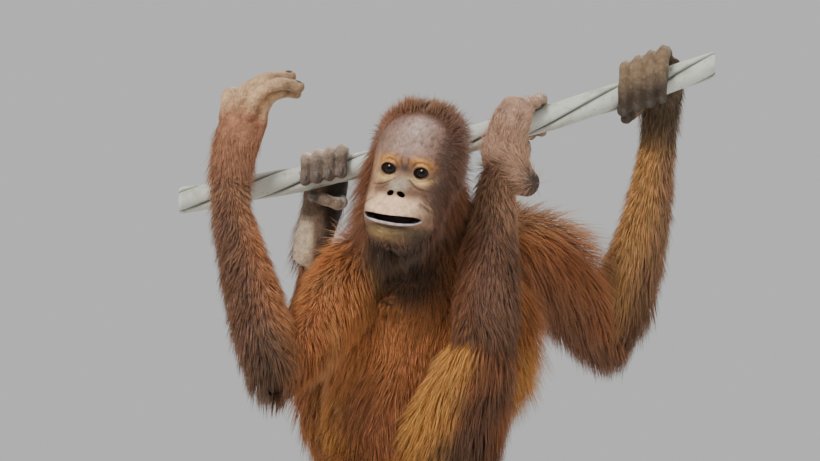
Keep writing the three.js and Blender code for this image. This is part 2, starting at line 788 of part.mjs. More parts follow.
// The hair of the left side is shorter and lies flatter than that of the right
const HEAD_SIDES = { left: { length: 0.66, rise: 0.6 }, right: { length: 1.1, rise: 1.15 } };
const HEAD_ROWS = [
  { z: 65, from: 0.25, to: 2.9, count: 5, lift: 0.9, rise: 1.1, length: 36, width: 21 },
  { z: 46, from: 0.95, to: 3, count: 5, lift: 0.3, rise: 0.9, length: 38, width: 25 },
  { z: 18, from: 1.1, to: 2.9, count: 4, lift: -0.5, rise: 0.75, length: 40, width: 29 },
  { z: -16, from: 1.15, to: 2.8, count: 3, lift: -0.8, rise: 0.6, length: 42, width: 27 },
  { z: -48, from: 1.25, to: 2.2, count: 2, lift: -0.9, rise: 0.5, length: 38, width: 24 },
];

// The hair of the head, standing up on the crown and lying back and down at the sides
function headLocks(seed) {
  const draw = seededDraw(seed);
  const locks = [];
  for (const row of HEAD_ROWS) {
    for (let i = 0; i < 2 * row.count; i++) {
      const share = (Math.floor(i / 2) + draw(0.3, 0.7)) / row.count;
      const left = i % 2 === 1;
      const side = left ? HEAD_SIDES.left : HEAD_SIDES.right;
      const angle = (left ? 1 : -1) * lerp(row.from, row.to, share);
      const { point, normal, up } = headSurface(row.z + draw(-4, 4), angle);
      const lie = up.multiplyScalar(row.lift).add(V(0, 0.5 * Math.abs(share), 0));
      const size = { ...LOCK, ...HEAD_LOCK, width: row.width };
      size.rise = row.rise * side.rise;
      size.length = row.length * side.length;
      const lock = makeLock(point, normal, lie, size, draw, "head");
      if (lock) locks.push(lock);
    }
  }
  return locks;
}

// One finger or toe as a form
function digitForm(path, radius) {
  const taper = (k) => radius * (1 - (0.16 * k) / (path.length - 1));
  const stations = path.map((place, k) => [...place, taper(k), taper(k)]);
  const alongRope = [1, 0, ROPE.rise];
  return fleshForm(stations, { side: alongRope, sides: 6, rings: 4, cap: 0.8 });
}

// Colours and finishes
const material = (color, roughness, metalness = 0) =>
  new THREE.MeshStandardMaterial({ color, roughness, metalness });
const FINISH = {
  coat: material(0x9a4a22, 0.85),
  face: material(0x9b7a63, 0.6),
  hand: material(0x7a5c4c, 0.65),
  eye: material(0x120a08, 0.1),
  rope: material(0xa9b3a4, 0.7),
  wood: material(0x5b4636, 0.5),
  rod: material(0x8c8f92, 0.35, 0.9),
};

// A core joined with its locks
function coated(core, locks) {
  return (grow = 0) => join([core(grow), ...locks.map((lock) => lockSolid(lock, grow))]);
}

// The parts in the order in which they are cut: each is cut clear of all those before it
const parts = [];
function place(name, finish, build) {
  parts.push({ name, finish, build });
}
place("perch_rope", FINISH.rope, buildRope);
place("eye_r", FINISH.eye, () => eyeBall(-1));
place("eye_l", FINISH.eye, () => eyeBall(1));
place("ear_r", FINISH.face, (grow) => earCup(-1, grow));
place("ear_l", FINISH.face, (grow) => earCup(1, grow));
for (const [limb, form] of Object.entries(PALMS)) {
  place(limb, FINISH.hand, form.build);
  DIGITS[limb].paths.forEach((path, i) => {
    const digit = digitForm(path, DIGITS[limb].radii[i]);
    place(`${limb}_${DIGITS[limb].names[i]}`, FINISH.hand, digit.build);
  });
}
place("head", FINISH.face, coated(buildHead, headLocks(11)));
const CUT_ORDER = ["forearm_r", "forearm_l", "shank_r", "shank_l", "upper_arm_r", "upper_arm_l"];
CUT_ORDER.push("thigh_r", "thigh_l", "torso", "pelvis", "neck");
CUT_ORDER.forEach((name, i) => {
  place(name, FINISH.coat, coated(FORMS[name].build, locksOf(name, 101 + i)));
});
place("stand_base", FINISH.wood, buildBase);
place("stand_rod", FINISH.rod, buildRod);

// Whether two boxes come within a distance of each other
function near(a, b, distance) {
  return a.min.every((low, k) => low < b.max[k] + distance && b.min[k] < a.max[k] + distance);
}

// The finished group
function assemble() {
  const group = new THREE.Group();
  const done = [];
  for (const { name, finish, build } of parts) {
    let made = build(0);
    const box = made.boundingBox();
    for (const other of done) {
      if (near(box, other.box, GAP)) made = made.subtract(other.grown);
    }
    made = largest(made);
    const mesh = new THREE.Mesh(geometryOf(made), finish);
    mesh.name = name;
    group.add(mesh);
    if (!name.startsWith("eye_")) done.push({ grown: build(GAP), box: made.boundingBox() });
  }
  return group;
}

export default assemble();
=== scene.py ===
# %% [markdown]
# # A young orangutan on its rope
# This lesson dresses a imported model of a young orangutan, life size. It hangs by one hand and both
# feet from a short length of rope, with the other hand raised, on a plain display stand.
# The imported solids give every place and size, so we load them first.

# %% Load the frame
import math

import bpy
import numpy as np
from mathutils import Matrix, Vector, kdtree


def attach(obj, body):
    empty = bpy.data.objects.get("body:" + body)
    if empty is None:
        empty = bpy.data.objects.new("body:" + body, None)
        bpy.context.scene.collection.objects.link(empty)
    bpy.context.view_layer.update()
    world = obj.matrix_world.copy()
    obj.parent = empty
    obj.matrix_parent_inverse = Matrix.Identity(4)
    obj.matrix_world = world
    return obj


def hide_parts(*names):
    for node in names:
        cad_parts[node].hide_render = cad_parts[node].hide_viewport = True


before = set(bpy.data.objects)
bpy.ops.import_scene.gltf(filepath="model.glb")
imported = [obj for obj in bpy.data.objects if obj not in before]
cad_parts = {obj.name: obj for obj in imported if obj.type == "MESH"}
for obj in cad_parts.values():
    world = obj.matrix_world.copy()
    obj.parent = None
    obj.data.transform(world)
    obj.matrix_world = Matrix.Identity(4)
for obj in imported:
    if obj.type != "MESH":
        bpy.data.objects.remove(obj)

bpy.context.view_layer.update()

# %% [markdown]
# ## Camera, floor and light
# The picture was taken from far away with a long lens, so things hardly shrink with distance. A
# camera could be moved until the picture looks right. We work it out instead: at the rope's depth
# the frame is 0.943 m wide, and a camera 7.5 m away needs a lens of 36 * 7.5 / 0.943 millimetres.
# The light is a plain soft studio: a broad key from the upper left, a weaker fill, and a lamp
# behind that makes the edge of the long hair glow.

# %% Camera and studio
MM = 0.001
SENSOR = 36
PICTURE = {"width": 0.943, "distance": 7.5, "middle": (-0.0425, 0.09, 0.445)}
LIGHT_AIM = Vector((-0.03, 0, 0.4))
PALE = (0.80, 0.81, 0.80)

bpy.ops.object.select_all(action="DESELECT")
middle = Vector(PICTURE["middle"])
bpy.ops.object.camera_add(
    location=middle - Vector((0, PICTURE["distance"], 0)), rotation=(math.pi / 2, 0, 0)
)
camera = bpy.context.object
camera.data.sensor_width = SENSOR
camera.data.lens = SENSOR * PICTURE["distance"] / PICTURE["width"]
camera.data.clip_end = 60
bpy.context.scene.camera = camera
print("lens in millimetres:", round(camera.data.lens, 1))


def soft_light(name, place, size, power, colour=(1, 1, 1)):
    """A square lamp that shines at the middle of the model."""
    bpy.ops.object.light_add(type="AREA", location=place)
    lamp = bpy.context.object
    lamp.name = name
    lamp.data.size = size
    lamp.data.energy = power
    lamp.data.color = colour
    lamp.rotation_euler = (LIGHT_AIM - lamp.location).to_track_quat("-Z", "Y").to_euler()


soft_light("key", (-1.7, -2.4, 2.8), 1.1, 125, (1, 0.97, 0.92))
soft_light("fill", (2.4, -2.6, 0.9), 1.6, 16, (0.94, 0.97, 1))
soft_light("rim", (0.9, 2.2, 2.3), 1.1, 60, (1, 0.97, 0.9))

world = bpy.data.worlds.new("studio")
world.use_nodes = True
world.node_tree.nodes["Background"].inputs["Color"].default_value = (*PALE, 1)
world.node_tree.nodes["Background"].inputs["Strength"].default_value = 0.7
bpy.context.scene.world = world

# %% [markdown]
# ## Shader maths as expressions
# A finish is a small network of nodes. It could be wired by hand, one link at a time, but a long
# recipe is then hard to read. One small class wraps a socket, so that `1 - mask * 0.5` adds its own
# maths nodes, and one method makes any other node. Colours go through Mix nodes.

# %% Sockets that can be added and multiplied


class Wire:
    """An output socket of a material, with the operators that the finishes use."""

    def __init__(self, tree, socket=None):
        self.tree = tree
        self.socket = socket

    def node(self, kind, settings=None, sockets=None, out=0):
        """Any node: its settings first, then the values or wires of its sockets."""
        made = self.tree.nodes.new("ShaderNode" + kind)
        for name, value in (settings or {}).items():
            setattr(made, name, value)
        for name, value in (sockets or {}).items():
            if isinstance(value, Wire):
                self.tree.links.new(value.socket, made.inputs[name])
            else:
                made.inputs[name].default_value = value
        return Wire(self.tree, made.outputs[out])

    def maths(self, operation, first, second):
        return self.node("Math", {"operation": operation}, {0: first, 1: second})

    def __add__(self, other):
        return self.maths("ADD", self, other)

    def __sub__(self, other):
        return self.maths("SUBTRACT", self, other)

    def __rsub__(self, other):
        return self.maths("SUBTRACT", other, self)

    def __mul__(self, other):
        return self.maths("MULTIPLY", self, other)

    __radd__ = __add__
    __rmul__ = __mul__

    def clamped(self):
        return self.node("Clamp", {}, {"Value": self})


def blend(low, high, factor, kind="MIX"):
    """A colour between two colours, each a wire or three numbers."""
    start = next(each for each in (low, high, factor) if isinstance(each, Wire))
    ends = [each if isinstance(each, Wire) else (*each, 1) for each in (low, high)]
    settings = {"data_type": "RGBA", "blend_type": kind}
    return start.node("Mix", settings, {0: factor, 6: ends[0], 7: ends[1]}, out=2)


def material(name, **constants):
    """A material with its constants set on the shader, and a wire to start its network from."""
    made = bpy.data.materials.new(name)
    made.use_nodes = True
    shader = made.node_tree.nodes["Principled BSDF"]
    for socket, value in constants.items():
        shader.inputs[socket.replace("_", " ")].default_value = value
    return made, shader, Wire(made.node_tree)


def connect(shader, **wires):
    for socket, wire in wires.items():
        wire.tree.links.new(wire.socket, shader.inputs[socket.replace("_", " ")])


def object_place(start):
    """Where a point of the surface is on its own piece."""
    return start.node("TexCoord", out=3)


def stored_number(start, name):
    return start.node("Attribute", {"attribute_name": name}, out=2)


def stretched_by(place, factors):
    """A place drawn out along the axes whose factor is small."""
    return place.node("VectorMath", {"operation": "MULTIPLY"}, {0: place, 1: factors})


def noise(start, place, scale, detail=3.0, roughness=0.55):
    """Soft random blotches between 0 and 1."""
    sockets = {"Vector": place, "Scale": scale, "Detail": detail, "Roughness": roughness}
    return start.node("TexNoise", {}, sockets)


def bump(start, height, strength, depth):
    return start.node("Bump", {}, {"Height": height, "Strength": strength, "Distance": depth})


# %% The floor
floor_paint, floor_shader, start = material("floor paint", Roughness=0.85)
grain = noise(start, object_place(start), 3.0)
connect(floor_shader, Base_Color=blend((0.72, 0.73, 0.72), (0.80, 0.81, 0.80), grain))
bpy.ops.mesh.primitive_plane_add(size=12, location=(0, -2.0, 0))
floor = bpy.context.object
floor.name = "floor"
bpy.ops.object.transform_apply(location=True, rotation=True, scale=True)
floor.data.materials.append(floor_paint)

# %% [markdown]
# ## Tools for flesh
# Flesh has no flat faces and no seams. It could be pushed and pulled by hand from a ball, and that
# is what we do in code: every limb starts as a UV sphere, and its points are moved onto ellipses
# that follow a smooth curve through a few stations. Pieces that overlap are then remeshed as one,
# which melts them together like clay.

# %% Helpers for meshes


def unit(vectors):
    return vectors / np.maximum(np.linalg.norm(vectors, axis=-1, keepdims=True), 1e-9)


def bell(x):
    """1 at nought, falling away softly on both sides."""
    return np.exp(-np.square(x))


def step(x, low, high):
    """0 below the low value and 1 above the high one, with a soft change between."""
    share = np.clip((x - low) / (high - low), 0, 1)
    return share * share * (3 - 2 * share)


def points_of(piece):
    flat = np.empty(len(piece.data.vertices) * 3, np.float32)
    piece.data.vertices.foreach_get("co", flat)
    return flat.reshape(-1, 3).astype(float)


def move_points(piece, points):
    piece.data.vertices.foreach_set("co", np.asarray(points, np.float32).ravel())
    piece.data.update()


def apply_modifier(piece, kind, **settings):
    bpy.context.view_layer.objects.active = piece
    modifier = piece.modifiers.new(kind.lower(), kind)
    for name, value in settings.items():
        setattr(modifier, name, value)
    bpy.ops.object.modifier_apply(modifier=modifier.name)


def shade_round(piece):
    """Smooth shading on every face."""
    piece.data.polygons.foreach_set("use_smooth", [True] * len(piece.data.polygons))


def shade_by_angle(piece, degrees):
    """Smooth shading that stays sharp at the edges that turn by more than an angle."""
    shade_round(piece)
    bpy.ops.object.select_all(action="DESELECT")
    piece.select_set(True)
    bpy.context.view_layer.objects.active = piece
    bpy.ops.object.shade_smooth_by_angle(angle=math.radians(degrees))


def store(piece, name, values):
    """Keeps one number, or three, at every point of a piece for its finish to read."""
    values = np.asarray(values, np.float32)
    kind, field = ("FLOAT", "value") if values.ndim == 1 else ("FLOAT_VECTOR", "vector")
    piece.data.attributes.new(name, kind, "POINT").data.foreach_set(field, values.ravel())


def select_edges(piece, chosen):
    """Enters edit mode with those edges selected that a test on their two ends picks."""
    ends = points_of(piece)
    bpy.ops.object.mode_set(mode="EDIT")
    bpy.ops.mesh.select_mode(type="EDGE")
    bpy.ops.mesh.select_all(action="DESELECT")
    bpy.ops.object.mode_set(mode="OBJECT")
    for edge in piece.data.edges:
        edge.select = bool(chosen(*(ends[k] for k in edge.vertices)))
    bpy.ops.object.mode_set(mode="EDIT")


def join(name, pieces):
    bpy.ops.object.select_all(action="DESELECT")
    for piece in pieces:
        piece.select_set(True)
    bpy.context.view_layer.objects.active = pieces[0]
    if len(pieces) > 1:
        bpy.ops.object.join()
    pieces[0].name = name
    return pieces[0]


def combine(piece, other, operation):
    """A Boolean with another piece, which is used up."""
    apply_modifier(piece, "BOOLEAN", object=other, operation=operation, solver="MANIFOLD")
    bpy.data.objects.remove(other)


def melt(piece, voxel, smooth):
    """Remeshes a piece as one closed surface and rounds it a little."""
    apply_modifier(piece, "REMESH", mode="VOXEL", voxel_size=voxel)
    apply_modifier(piece, "SMOOTH", factor=0.5, iterations=smooth)
    shade_round(piece)


def ball(name, centre, sizes, segments=48, rings=32):
    """A ball with a half size along each axis, in metres."""
    bpy.ops.mesh.primitive_uv_sphere_add(segments=segments, ring_count=rings, radius=1)
    made = bpy.context.object
    made.name = name
    move_points(made, points_of(made) * np.array(sizes) + np.array(centre))
    return made


# %% A fleshy form through stations
END = 0.09


class Form:
    """Ellipses along a smooth curve through stations [x, y, z, half width, half depth] in mm."""

    def __init__(self, stations, coat=0, side=(1, 0, 0), cap=0.7, scale=MM):
        self.stations = np.array(stations, float) * scale
        self.coat = coat * MM
        self.side = np.array(side, float)
        self.cap = cap
        self.samples = self.frame(np.linspace(0, 1, 20))

    def frame(self, t):
        """Centre, direction, the two directions across it, and the two half sizes."""
        s = self.stations
        place = np.clip(t, 0, 1) * (len(s) - 1)
        i = np.minimum(place.astype(int), len(s) - 2)
        u = (place - i)[:, None]
        padded = np.vstack([2 * s[0] - s[1], s, 2 * s[-1] - s[-2]])
        a, b, c, d = (padded[i + k] for k in range(4))
        linear, square, cube = c - a, 2 * a - 5 * b + 4 * c - d, 3 * b - a - 3 * c + d
        place = 0.5 * (2 * b + linear * u + square * u**2 + cube * u**3)
        along = unit((linear + 2 * square * u + 3 * cube * u**2)[:, :3])
        across = unit(self.side - along * (along @ self.side)[:, None])
        return place[:, :3], along, across, np.cross(along, across), place[:, 3], place[:, 4]

    def skin_at(self, v, angle):
        """A place on the skin with its outward direction; v runs over both round ends too."""
        t = np.clip((v - END) / (1 - 2 * END), 0, 1)
        end = np.clip(np.maximum(END - v, v - 1 + END) / END, 0, 1) * 0.5 * math.pi
        tip = np.sin(end) * np.sign(v - 0.5)
        centre, along, across, deep, wide, thick = self.frame(t)
        thin = np.minimum(wide, thick)
        cosine, sine = np.cos(angle), np.sin(angle)
        flat = across * (wide * cosine)[:, None] + deep * (thick * sine)[:, None]
        point = centre + flat * np.cos(end)[:, None] + along * (tip * thin * self.cap)[:, None]
        out = across * (thin / wide * cosine)[:, None] + deep * (thin / thick * sine)[:, None]
        normal = unit(out * np.cos(end)[:, None] + along * tip[:, None])
        return point, normal, along, t

    def surface(self, v, angle):
        """The same, with the true normal of the skin where the form widens or narrows."""
        point, normal, along, t = self.skin_at(v, angle)
        onward = self.skin_at(np.minimum(v + 0.004, 1), angle)[0] - self.skin_at(v - 0.004, angle)[0]
        around = self.skin_at(v, angle + 0.02)[0] - self.skin_at(v, angle - 0.02)[0]
        true = unit(np.cross(around, onward))
        return point, true * np.sign((true * normal).sum(1))[:, None], along, t

    def reach(self, points):
        """How far each point lies from the middle, as a share of the half size, and where."""
        centre, along, across, deep, wide, thick = self.samples
        gap = np.square(points[:, None] - centre[None]).sum(-1)
        k = gap.argmin(1)
        off = points - centre[k]
        flat = np.hypot((off * across[k]).sum(1) / wide[k], (off * deep[k]).sum(1) / thick[k])
        room = 0.5 * np.linalg.norm(centre[-1] - centre[0]) / len(centre)
        beyond = np.maximum(0, np.abs((off * along[k]).sum(1)) - room) / (self.cap * thick[k])
        return np.hypot(flat, beyond), k / (len(centre) - 1)


def unrolled(form, points):
    """Places along, across and through a form, from which streaks along it are made."""
    centre, along, across, deep = form.samples[:4]
    steps = np.linalg.norm(np.diff(centre, axis=0), axis=1)
    k = np.square(points[:, None] - centre[None]).sum(-1).argmin(1)
    off = points - centre[k]
    distance = np.append(0, np.cumsum(steps))[k] + (off * along[k]).sum(1)
    return np.stack([distance, (off * across[k]).sum(1), (off * deep[k]).sum(1)], -1)


def flesh(name, form, sides=32, rings=48):
    """A ball whose points are moved onto a form."""
    bpy.ops.mesh.primitive_uv_sphere_add(segments=sides, ring_count=rings, radius=1)
    made = bpy.context.object
    made.name = name
    place = points_of(made)
    v = np.arcsin(np.clip(place[:, 2], -1, 1)) / math.pi + 0.5
    move_points(made, form.skin_at(v, np.arctan2(place[:, 1], place[:, 0]))[0])
    return made


# %% [markdown]
# ## The head
# The head of a young orangutan is a tall dome with a flat face, close-set eyes and a muzzle that
# swells forward round a wide mouth. It could be drawn as a mesh by hand. We give its outline level
# by level instead, with soft bells for sockets, brow, nose, cheeks and chin, because each of these
# can then be compared with the picture and moved by itself. Lids, lips, ears, nostrils and the slit
# of the mouth are joined or cut afterwards, and one remesh melts them into the skin.

# %% Sizes of the head
HEAD = {"origin": (-47, -106, 512), "yaw": -20, "roll": 9, "skew": 0.16, "soft": 20}
EYE = {"radius": 12, "spread": 19.5, "back": 6.6, "lid": 2.1, "wide": 8.3, "top": 5.5, "low": 6.4}
NOSTRIL = {"spread": 6.3, "z": -27.3, "front": -20.5, "wide": 5.0, "high": 3.1, "deep": 9}
MOUTH = {"turn": 0.93, "shift": -0.07, "z": -56, "rise": 3.2, "open": 8, "lopsided": 0.3, "lip": 2.2}
EAR = {"side": 47, "y": 50, "z": -4, "wide": 12.5, "tall": 15.5, "thick": 4.5, "turn": 0.45}

# Height, front, back, half width, squareness, place of the widest point
HEAD_LEVELS = np.array([
    [-88, -8, 30, 17, 1, 8],
    [-82, -20, 48, 29, 1, 9],
    [-72, -28, 62, 37, 1, 10],
    [-60, -33, 70, 42, 1, 10],
    [-50, -34, 78, 44, 1, 10],
    [-40, -29, 84, 44, 1, 12],
    [-28, -21, 90, 45, 1, 18],
    [-18, -14, 95, 46, 0.95, 26],
    [-8, -8, 99, 48, 0.85, 34],
    [2, -6, 102, 49, 0.8, 42],
    [14, -7, 104, 50, 0.8, 46],
    [26, -3, 105, 50, 0.85, 50],
    [40, 6, 103, 48, 0.95, 54],
    [52, 17, 97, 43, 1, 57],
    [62, 31, 88, 34, 1, 59],
    [69, 44, 76, 22, 1, 60],
], float)
CHIN = np.array((-1, 10, -91.0))
CROWN = np.array((-8.3, 60, 73.0))
HEAD_END = 0.03
HEAD_AXIS = 30.0
HEAD_TURN = (
    Matrix.Translation(Vector(HEAD["origin"]) * MM)
    @ Matrix.Rotation(math.radians(HEAD["roll"]), 4, "Y")
    @ Matrix.Rotation(math.radians(HEAD["yaw"]), 4, "Z")
    @ Matrix.Scale(MM, 4)
)
HEAD_TO_WORLD = np.array(HEAD_TURN)

# A table at every millimetre, rounded so that no level shows as a crease
level_heights = np.arange(HEAD_LEVELS[0, 0], HEAD_LEVELS[-1, 0] + 1)
rounding = bell(np.arange(-8, 9) / 4.0)
rounding /= rounding.sum()


def rounded(k):
    plain = np.interp(level_heights, HEAD_LEVELS[:, 0], HEAD_LEVELS[:, k])
    return np.convolve(np.pad(plain, 8, mode="edge"), rounding, mode="valid")


level_sizes = [rounded(k) for k in range(1, 6)]


def face_relief(x, z):
    """How far the face stands out from the plain outline of the head."""
    side = np.abs(x)
    socket = -6 * bell(np.hypot((side - EYE["spread"]) / 12, z / 10))
    brow = 3.2 * bell((z - 13) / 6) * bell((side - 17) / 16)
    bridge = 2.5 * bell(side / 6) * bell((z + 8) / 12)
    nose = 5 * bell(np.hypot(side / 10, (z + 23) / 6.5))
    wing = 2.6 * bell(np.hypot((side - 9.5) / 4.5, (z + 23) / 5))
    septum = 1.6 * bell(side / 2.4) * bell((z + 27) / 4)
    cheek = 2 * bell(np.hypot((side - 30) / 12, (z + 18) / 10))
    fold = -2 * bell((z + 33) / 3.5) * bell((side - 18) / 10)
    under_lip = -2.5 * bell((z + 66) / 4) * bell(side / 26)
    chin = 3 * bell(np.hypot(side / 16, (z + 76) / 8))
    return socket + brow + bridge + nose + wing + septum + cheek + fold + under_lip + chin


def head_skew(y):
    """The back of the head lies a little towards its right: the shift by the depth of a place."""
    return -0.5 * HEAD["skew"] * (np.hypot(y, HEAD["soft"]) + y - HEAD["soft"])


def head_point(z, angle):
    """A place on the head at a height, by the angle round it from the middle of the face."""
    front, back, wide, power, widest = (np.interp(z, level_heights, size) for size in level_sizes)
    sine, cosine = np.sin(angle), np.cos(angle)
    ahead = cosine > 0
    x = wide * np.sign(sine) * np.abs(sine) ** np.where(ahead, power, 0.9)
    reach = np.where(ahead, widest - front, back - widest)
    relief = np.where(ahead, face_relief(x, z) * np.sqrt(np.maximum(cosine, 0)), 0)
    y = widest - reach * cosine - relief
    return np.stack([x + head_skew(y), y, z + 0 * x], -1)


def head_surface(local):
    """The place on the plain head at the height of each point and on its side."""
    level = np.clip(local[:, 2], HEAD_LEVELS[0, 0], HEAD_LEVELS[-1, 0])
    return head_point(level, np.arctan2(local[:, 0], HEAD_AXIS - local[:, 1]))


def within_head(local, margin):
    """Whether each point is nearer the head's axis than its surface is, and a margin in mm."""
    surface = head_surface(local)
    own, limit = (np.hypot(at[:, 0], at[:, 1] - HEAD_AXIS) for at in (local, surface))
    return own < limit + margin


def head_at(v, angle):
    """The same, with v from 0 under the chin to 1 on the crown."""
    low, high = HEAD_LEVELS[0, 0], HEAD_LEVELS[-1, 0]
    point = head_point(low + (high - low) * np.clip((v - HEAD_END) / (1 - 2 * HEAD_END), 0, 1), angle)
    for pole, past in ((CHIN, HEAD_END - v), (CROWN, v - 1 + HEAD_END)):
        turn = np.clip(past / HEAD_END, 0, 1)[:, None] * 0.5 * math.pi
        near = np.cos(turn)
        flat = point[:, :2] * near + pole[:2] * (1 - near)
        point = np.hstack([flat, point[:, 2:] + (pole[2] - point[:, 2:]) * np.sin(turn)])
    return point


def turned(points):
    """Head millimetres to places in the room."""
    return points @ HEAD_TO_WORLD[:3, :3].T + HEAD_TO_WORLD[:3, 3]


def turned_back(points):
    """Places in the room to head millimetres."""
    return (points - HEAD_TO_WORLD[:3, 3]) @ np.linalg.inv(HEAD_TO_WORLD[:3, :3]).T


# %% The bare head
bpy.ops.mesh.primitive_uv_sphere_add(segments=160, ring_count=140, radius=1)
head = bpy.context.object
head.name = "head_skin"
place = points_of(head)
round_angle = np.arctan2(place[:, 0], -place[:, 1])
v = np.arcsin(np.clip(place[:, 2], -1, 1)) / math.pi + 0.5
move_points(head, head_at(v, round_angle - 0.3 * np.sin(round_angle)))
print("bare head:", len(head.data.vertices), "points")


# %% Lids, lips and ears joined to it


def mouth_line(s, inward):
    """Places on the line of the mouth, from one corner to the other as s runs from -1 to 1."""
    point = head_point(MOUTH["z"] + MOUTH["rise"] * s * s, s * MOUTH["turn"] + MOUTH["shift"])
    middle_of_mouth = np.array((0, 12.0, MOUTH["z"]))
    return point + unit(middle_of_mouth - point) * np.asarray(inward)[..., None]


def half_opening(s):
    """Half the height of the open mouth on its way from one corner to the other."""
    s = np.clip(s, -1, 1)
    return 0.5 * MOUTH["open"] * (1 - s**4) * (1 + MOUTH["lopsided"] * s)


def mouth_form(s, half_high, half_deep, inward, lift):
    """A form that runs along the mouth, such as a lip or the slit itself."""
    centre = mouth_line(s, inward) + np.stack([0 * s, 0 * s, lift], -1)
    return Form(np.column_stack([centre, half_deep, half_high]), side=(0, 1, 0), scale=1)


s = np.linspace(-1, 1, 15)
half_open = half_opening(s)
for name, full, way in (("upper lip", 0.75 * MOUTH["lip"], 1), ("lower lip", MOUTH["lip"], -1)):
    fade = full * np.sqrt(np.maximum(0.05, 1 - s**6 / 1.1))
    lip = mouth_form(s * 1.02, fade, fade, 1.4 + 0 * s, way * (half_open + 0.55 * full))
    combine(head, flesh(name, lip, 20, 60), "UNION")

for sign in (-1, 1):
    eye_centre = np.array((sign * EYE["spread"], EYE["back"], 0.0))
    combine(head, ball("lids", eye_centre, [EYE["radius"] + EYE["lid"]] * 3), "UNION")
    ear = ball("ear", (0, 0, 0), (EAR["thick"], EAR["wide"], EAR["tall"]))
    cup = ball("cup", (EAR["thick"] * 0.9, -1, 0), (EAR["thick"], EAR["wide"] - 3, EAR["tall"] - 3.5))
    combine(ear, cup, "DIFFERENCE")
    turn = Matrix.Rotation(-EAR["turn"], 3, "Z")
    place = points_of(ear) @ np.array(turn).T * (sign, 1, 1)
    move_points(ear, place + (sign * EAR["side"] + head_skew(EAR["y"]), EAR["y"], EAR["z"]))
    if sign < 0:
        ear.data.flip_normals()
    combine(head, ear, "UNION")
print("with lids, lips and ears:", len(head.data.vertices), "points")

# %% Eyes, nostrils and the slit of the mouth cut in
for sign in (-1, 1):
    eye_centre = np.array((sign * EYE["spread"], EYE["back"], 0.0))
    combine(head, ball("socket", eye_centre, [EYE["radius"] + 0.35] * 3), "DIFFERENCE")
    bpy.ops.mesh.primitive_cylinder_add(vertices=56, radius=1, depth=1, rotation=(math.pi / 2, 0, 0))
    almond = bpy.context.object
    bpy.ops.object.transform_apply(location=True, rotation=True, scale=True)
    place = points_of(almond)
    turn = np.arctan2(place[:, 2], place[:, 0])
    high = np.where(place[:, 2] > 0, EYE["top"], EYE["low"]) * np.abs(np.sin(turn)) ** 1.1
    outline = np.stack([sign * EYE["wide"] * np.cos(turn), 24 * place[:, 1] - 10,
                        np.sign(place[:, 2]) * high + 0.6 * np.cos(turn)], -1)
    if sign < 0:
        almond.data.flip_normals()
    move_points(almond, outline + (sign * EYE["spread"], 0, 0))
    combine(head, almond, "DIFFERENCE")
    at = (sign * NOSTRIL["spread"], NOSTRIL["front"], NOSTRIL["z"])
    nostril = ball("nostril", (0, 0, 0), (NOSTRIL["wide"], NOSTRIL["deep"], NOSTRIL["high"]))
    tilt = np.array(Matrix.Rotation(sign * 0.35, 3, "Y"))
    move_points(nostril, points_of(nostril) @ tilt.T + at)
    combine(head, nostril, "DIFFERENCE")
slit = mouth_form(s, half_open + 0.3, 8.5 + 0 * s, 5.0 + 0 * s, 0 * s)
combine(head, flesh("slit", slit, 32, 60), "DIFFERENCE")
print("cut:", len(head.data.vertices), "points")

# %% Folds of the face
melt(head, 0.85, 2)
# Each fold is drawn on the front of the face: its places (x, z), half width and depth in mm
FOLDS = [
    ([(9, -10), (16, -15.5), (23, -18.5), (33, -19.5)], 1.1, 1.5),
    ([(14, -18), (21, -22.5), (30, -24)], 1.0, 0.7),
    ([(9.5, 5), (13, 9.6), (19.5, 11.4), (26, 9.6), (30, 5.5)], 0.9, 1.1),
    ([(10, -5), (14, -9.4), (20, -10.6), (26, -8.8), (30.5, -4)], 0.9, 0.8),
    ([(3, 4), (4.5, 9), (3.5, 14)], 1.1, 1.0),
    ([(29, -35), (35, -39), (40, -42)], 1.2, 1.2),
    ([(11, -32), (18, -34), (25, -39)], 1.6, 0.8),
    ([(0, -62), (10, -61.4), (20, -59)], 1.0, 0.9),
    ([(0, -66.5), (9, -66), (17, -63.5)], 1.0, 0.8),
    ([(0, -71), (8, -70.4), (15, -68)], 1.0, 0.7),
    ([(0, 20), (8, 21), (15, 19.5)], 1.3, 0.5),
    ([(0, 26), (9, 27), (17, 25.5)], 1.4, 0.45),
]


def distance_to_line(x, z, line):
    """Distance of each point to a line drawn on the face, and how far along the line it is."""
    best = np.full(x.shape, 1e9)
    share = np.zeros(x.shape)
    for k, ((x0, z0), (x1, z1)) in enumerate(zip(line, line[1:])):
        dx, dz = x1 - x0, z1 - z0
        u = np.clip(((x - x0) * dx + (z - z0) * dz) / (dx * dx + dz * dz), 0, 1)
        away = np.hypot(x - x0 - u * dx, z - z0 - u * dz)
        share = np.where(away < best, (k + u) / (len(line) - 1), share)
        best = np.minimum(best, away)
    return best, share


place = points_of(head)
front = step(-place[:, 1], -34, -18)
depth = np.zeros(len(place))
for line, half, deep in FOLDS:
    away, share = distance_to_line(np.abs(place[:, 0]), place[:, 2], line)
    starts_inside = 0.35 if line[0][0] > 0 else 1.0
    fade = np.minimum(1, starts_inside + share * 3) * np.minimum(1, (1.02 - share) * 3)
    depth += deep * fade * (bell(away / half) - 0.35 * bell((away - 2.4 * half) / half))
place[:, 1] += depth * front
move_points(head, place)
head.data.transform(HEAD_TURN)
print("head after remesh:", len(head.data.polygons), "faces")

# %% [markdown]
# ## Trunk, limbs, hands and feet
# Under the hair a young orangutan is slim, with long arms. Each limb could be one tube, but a limb
# swells over its muscles, so its stations give a width and a depth that change on the way. The
# sizes are those of the skin: the hair comes on top. Fingers and toes are the same kind of form,
# closed round the rope at its own height.

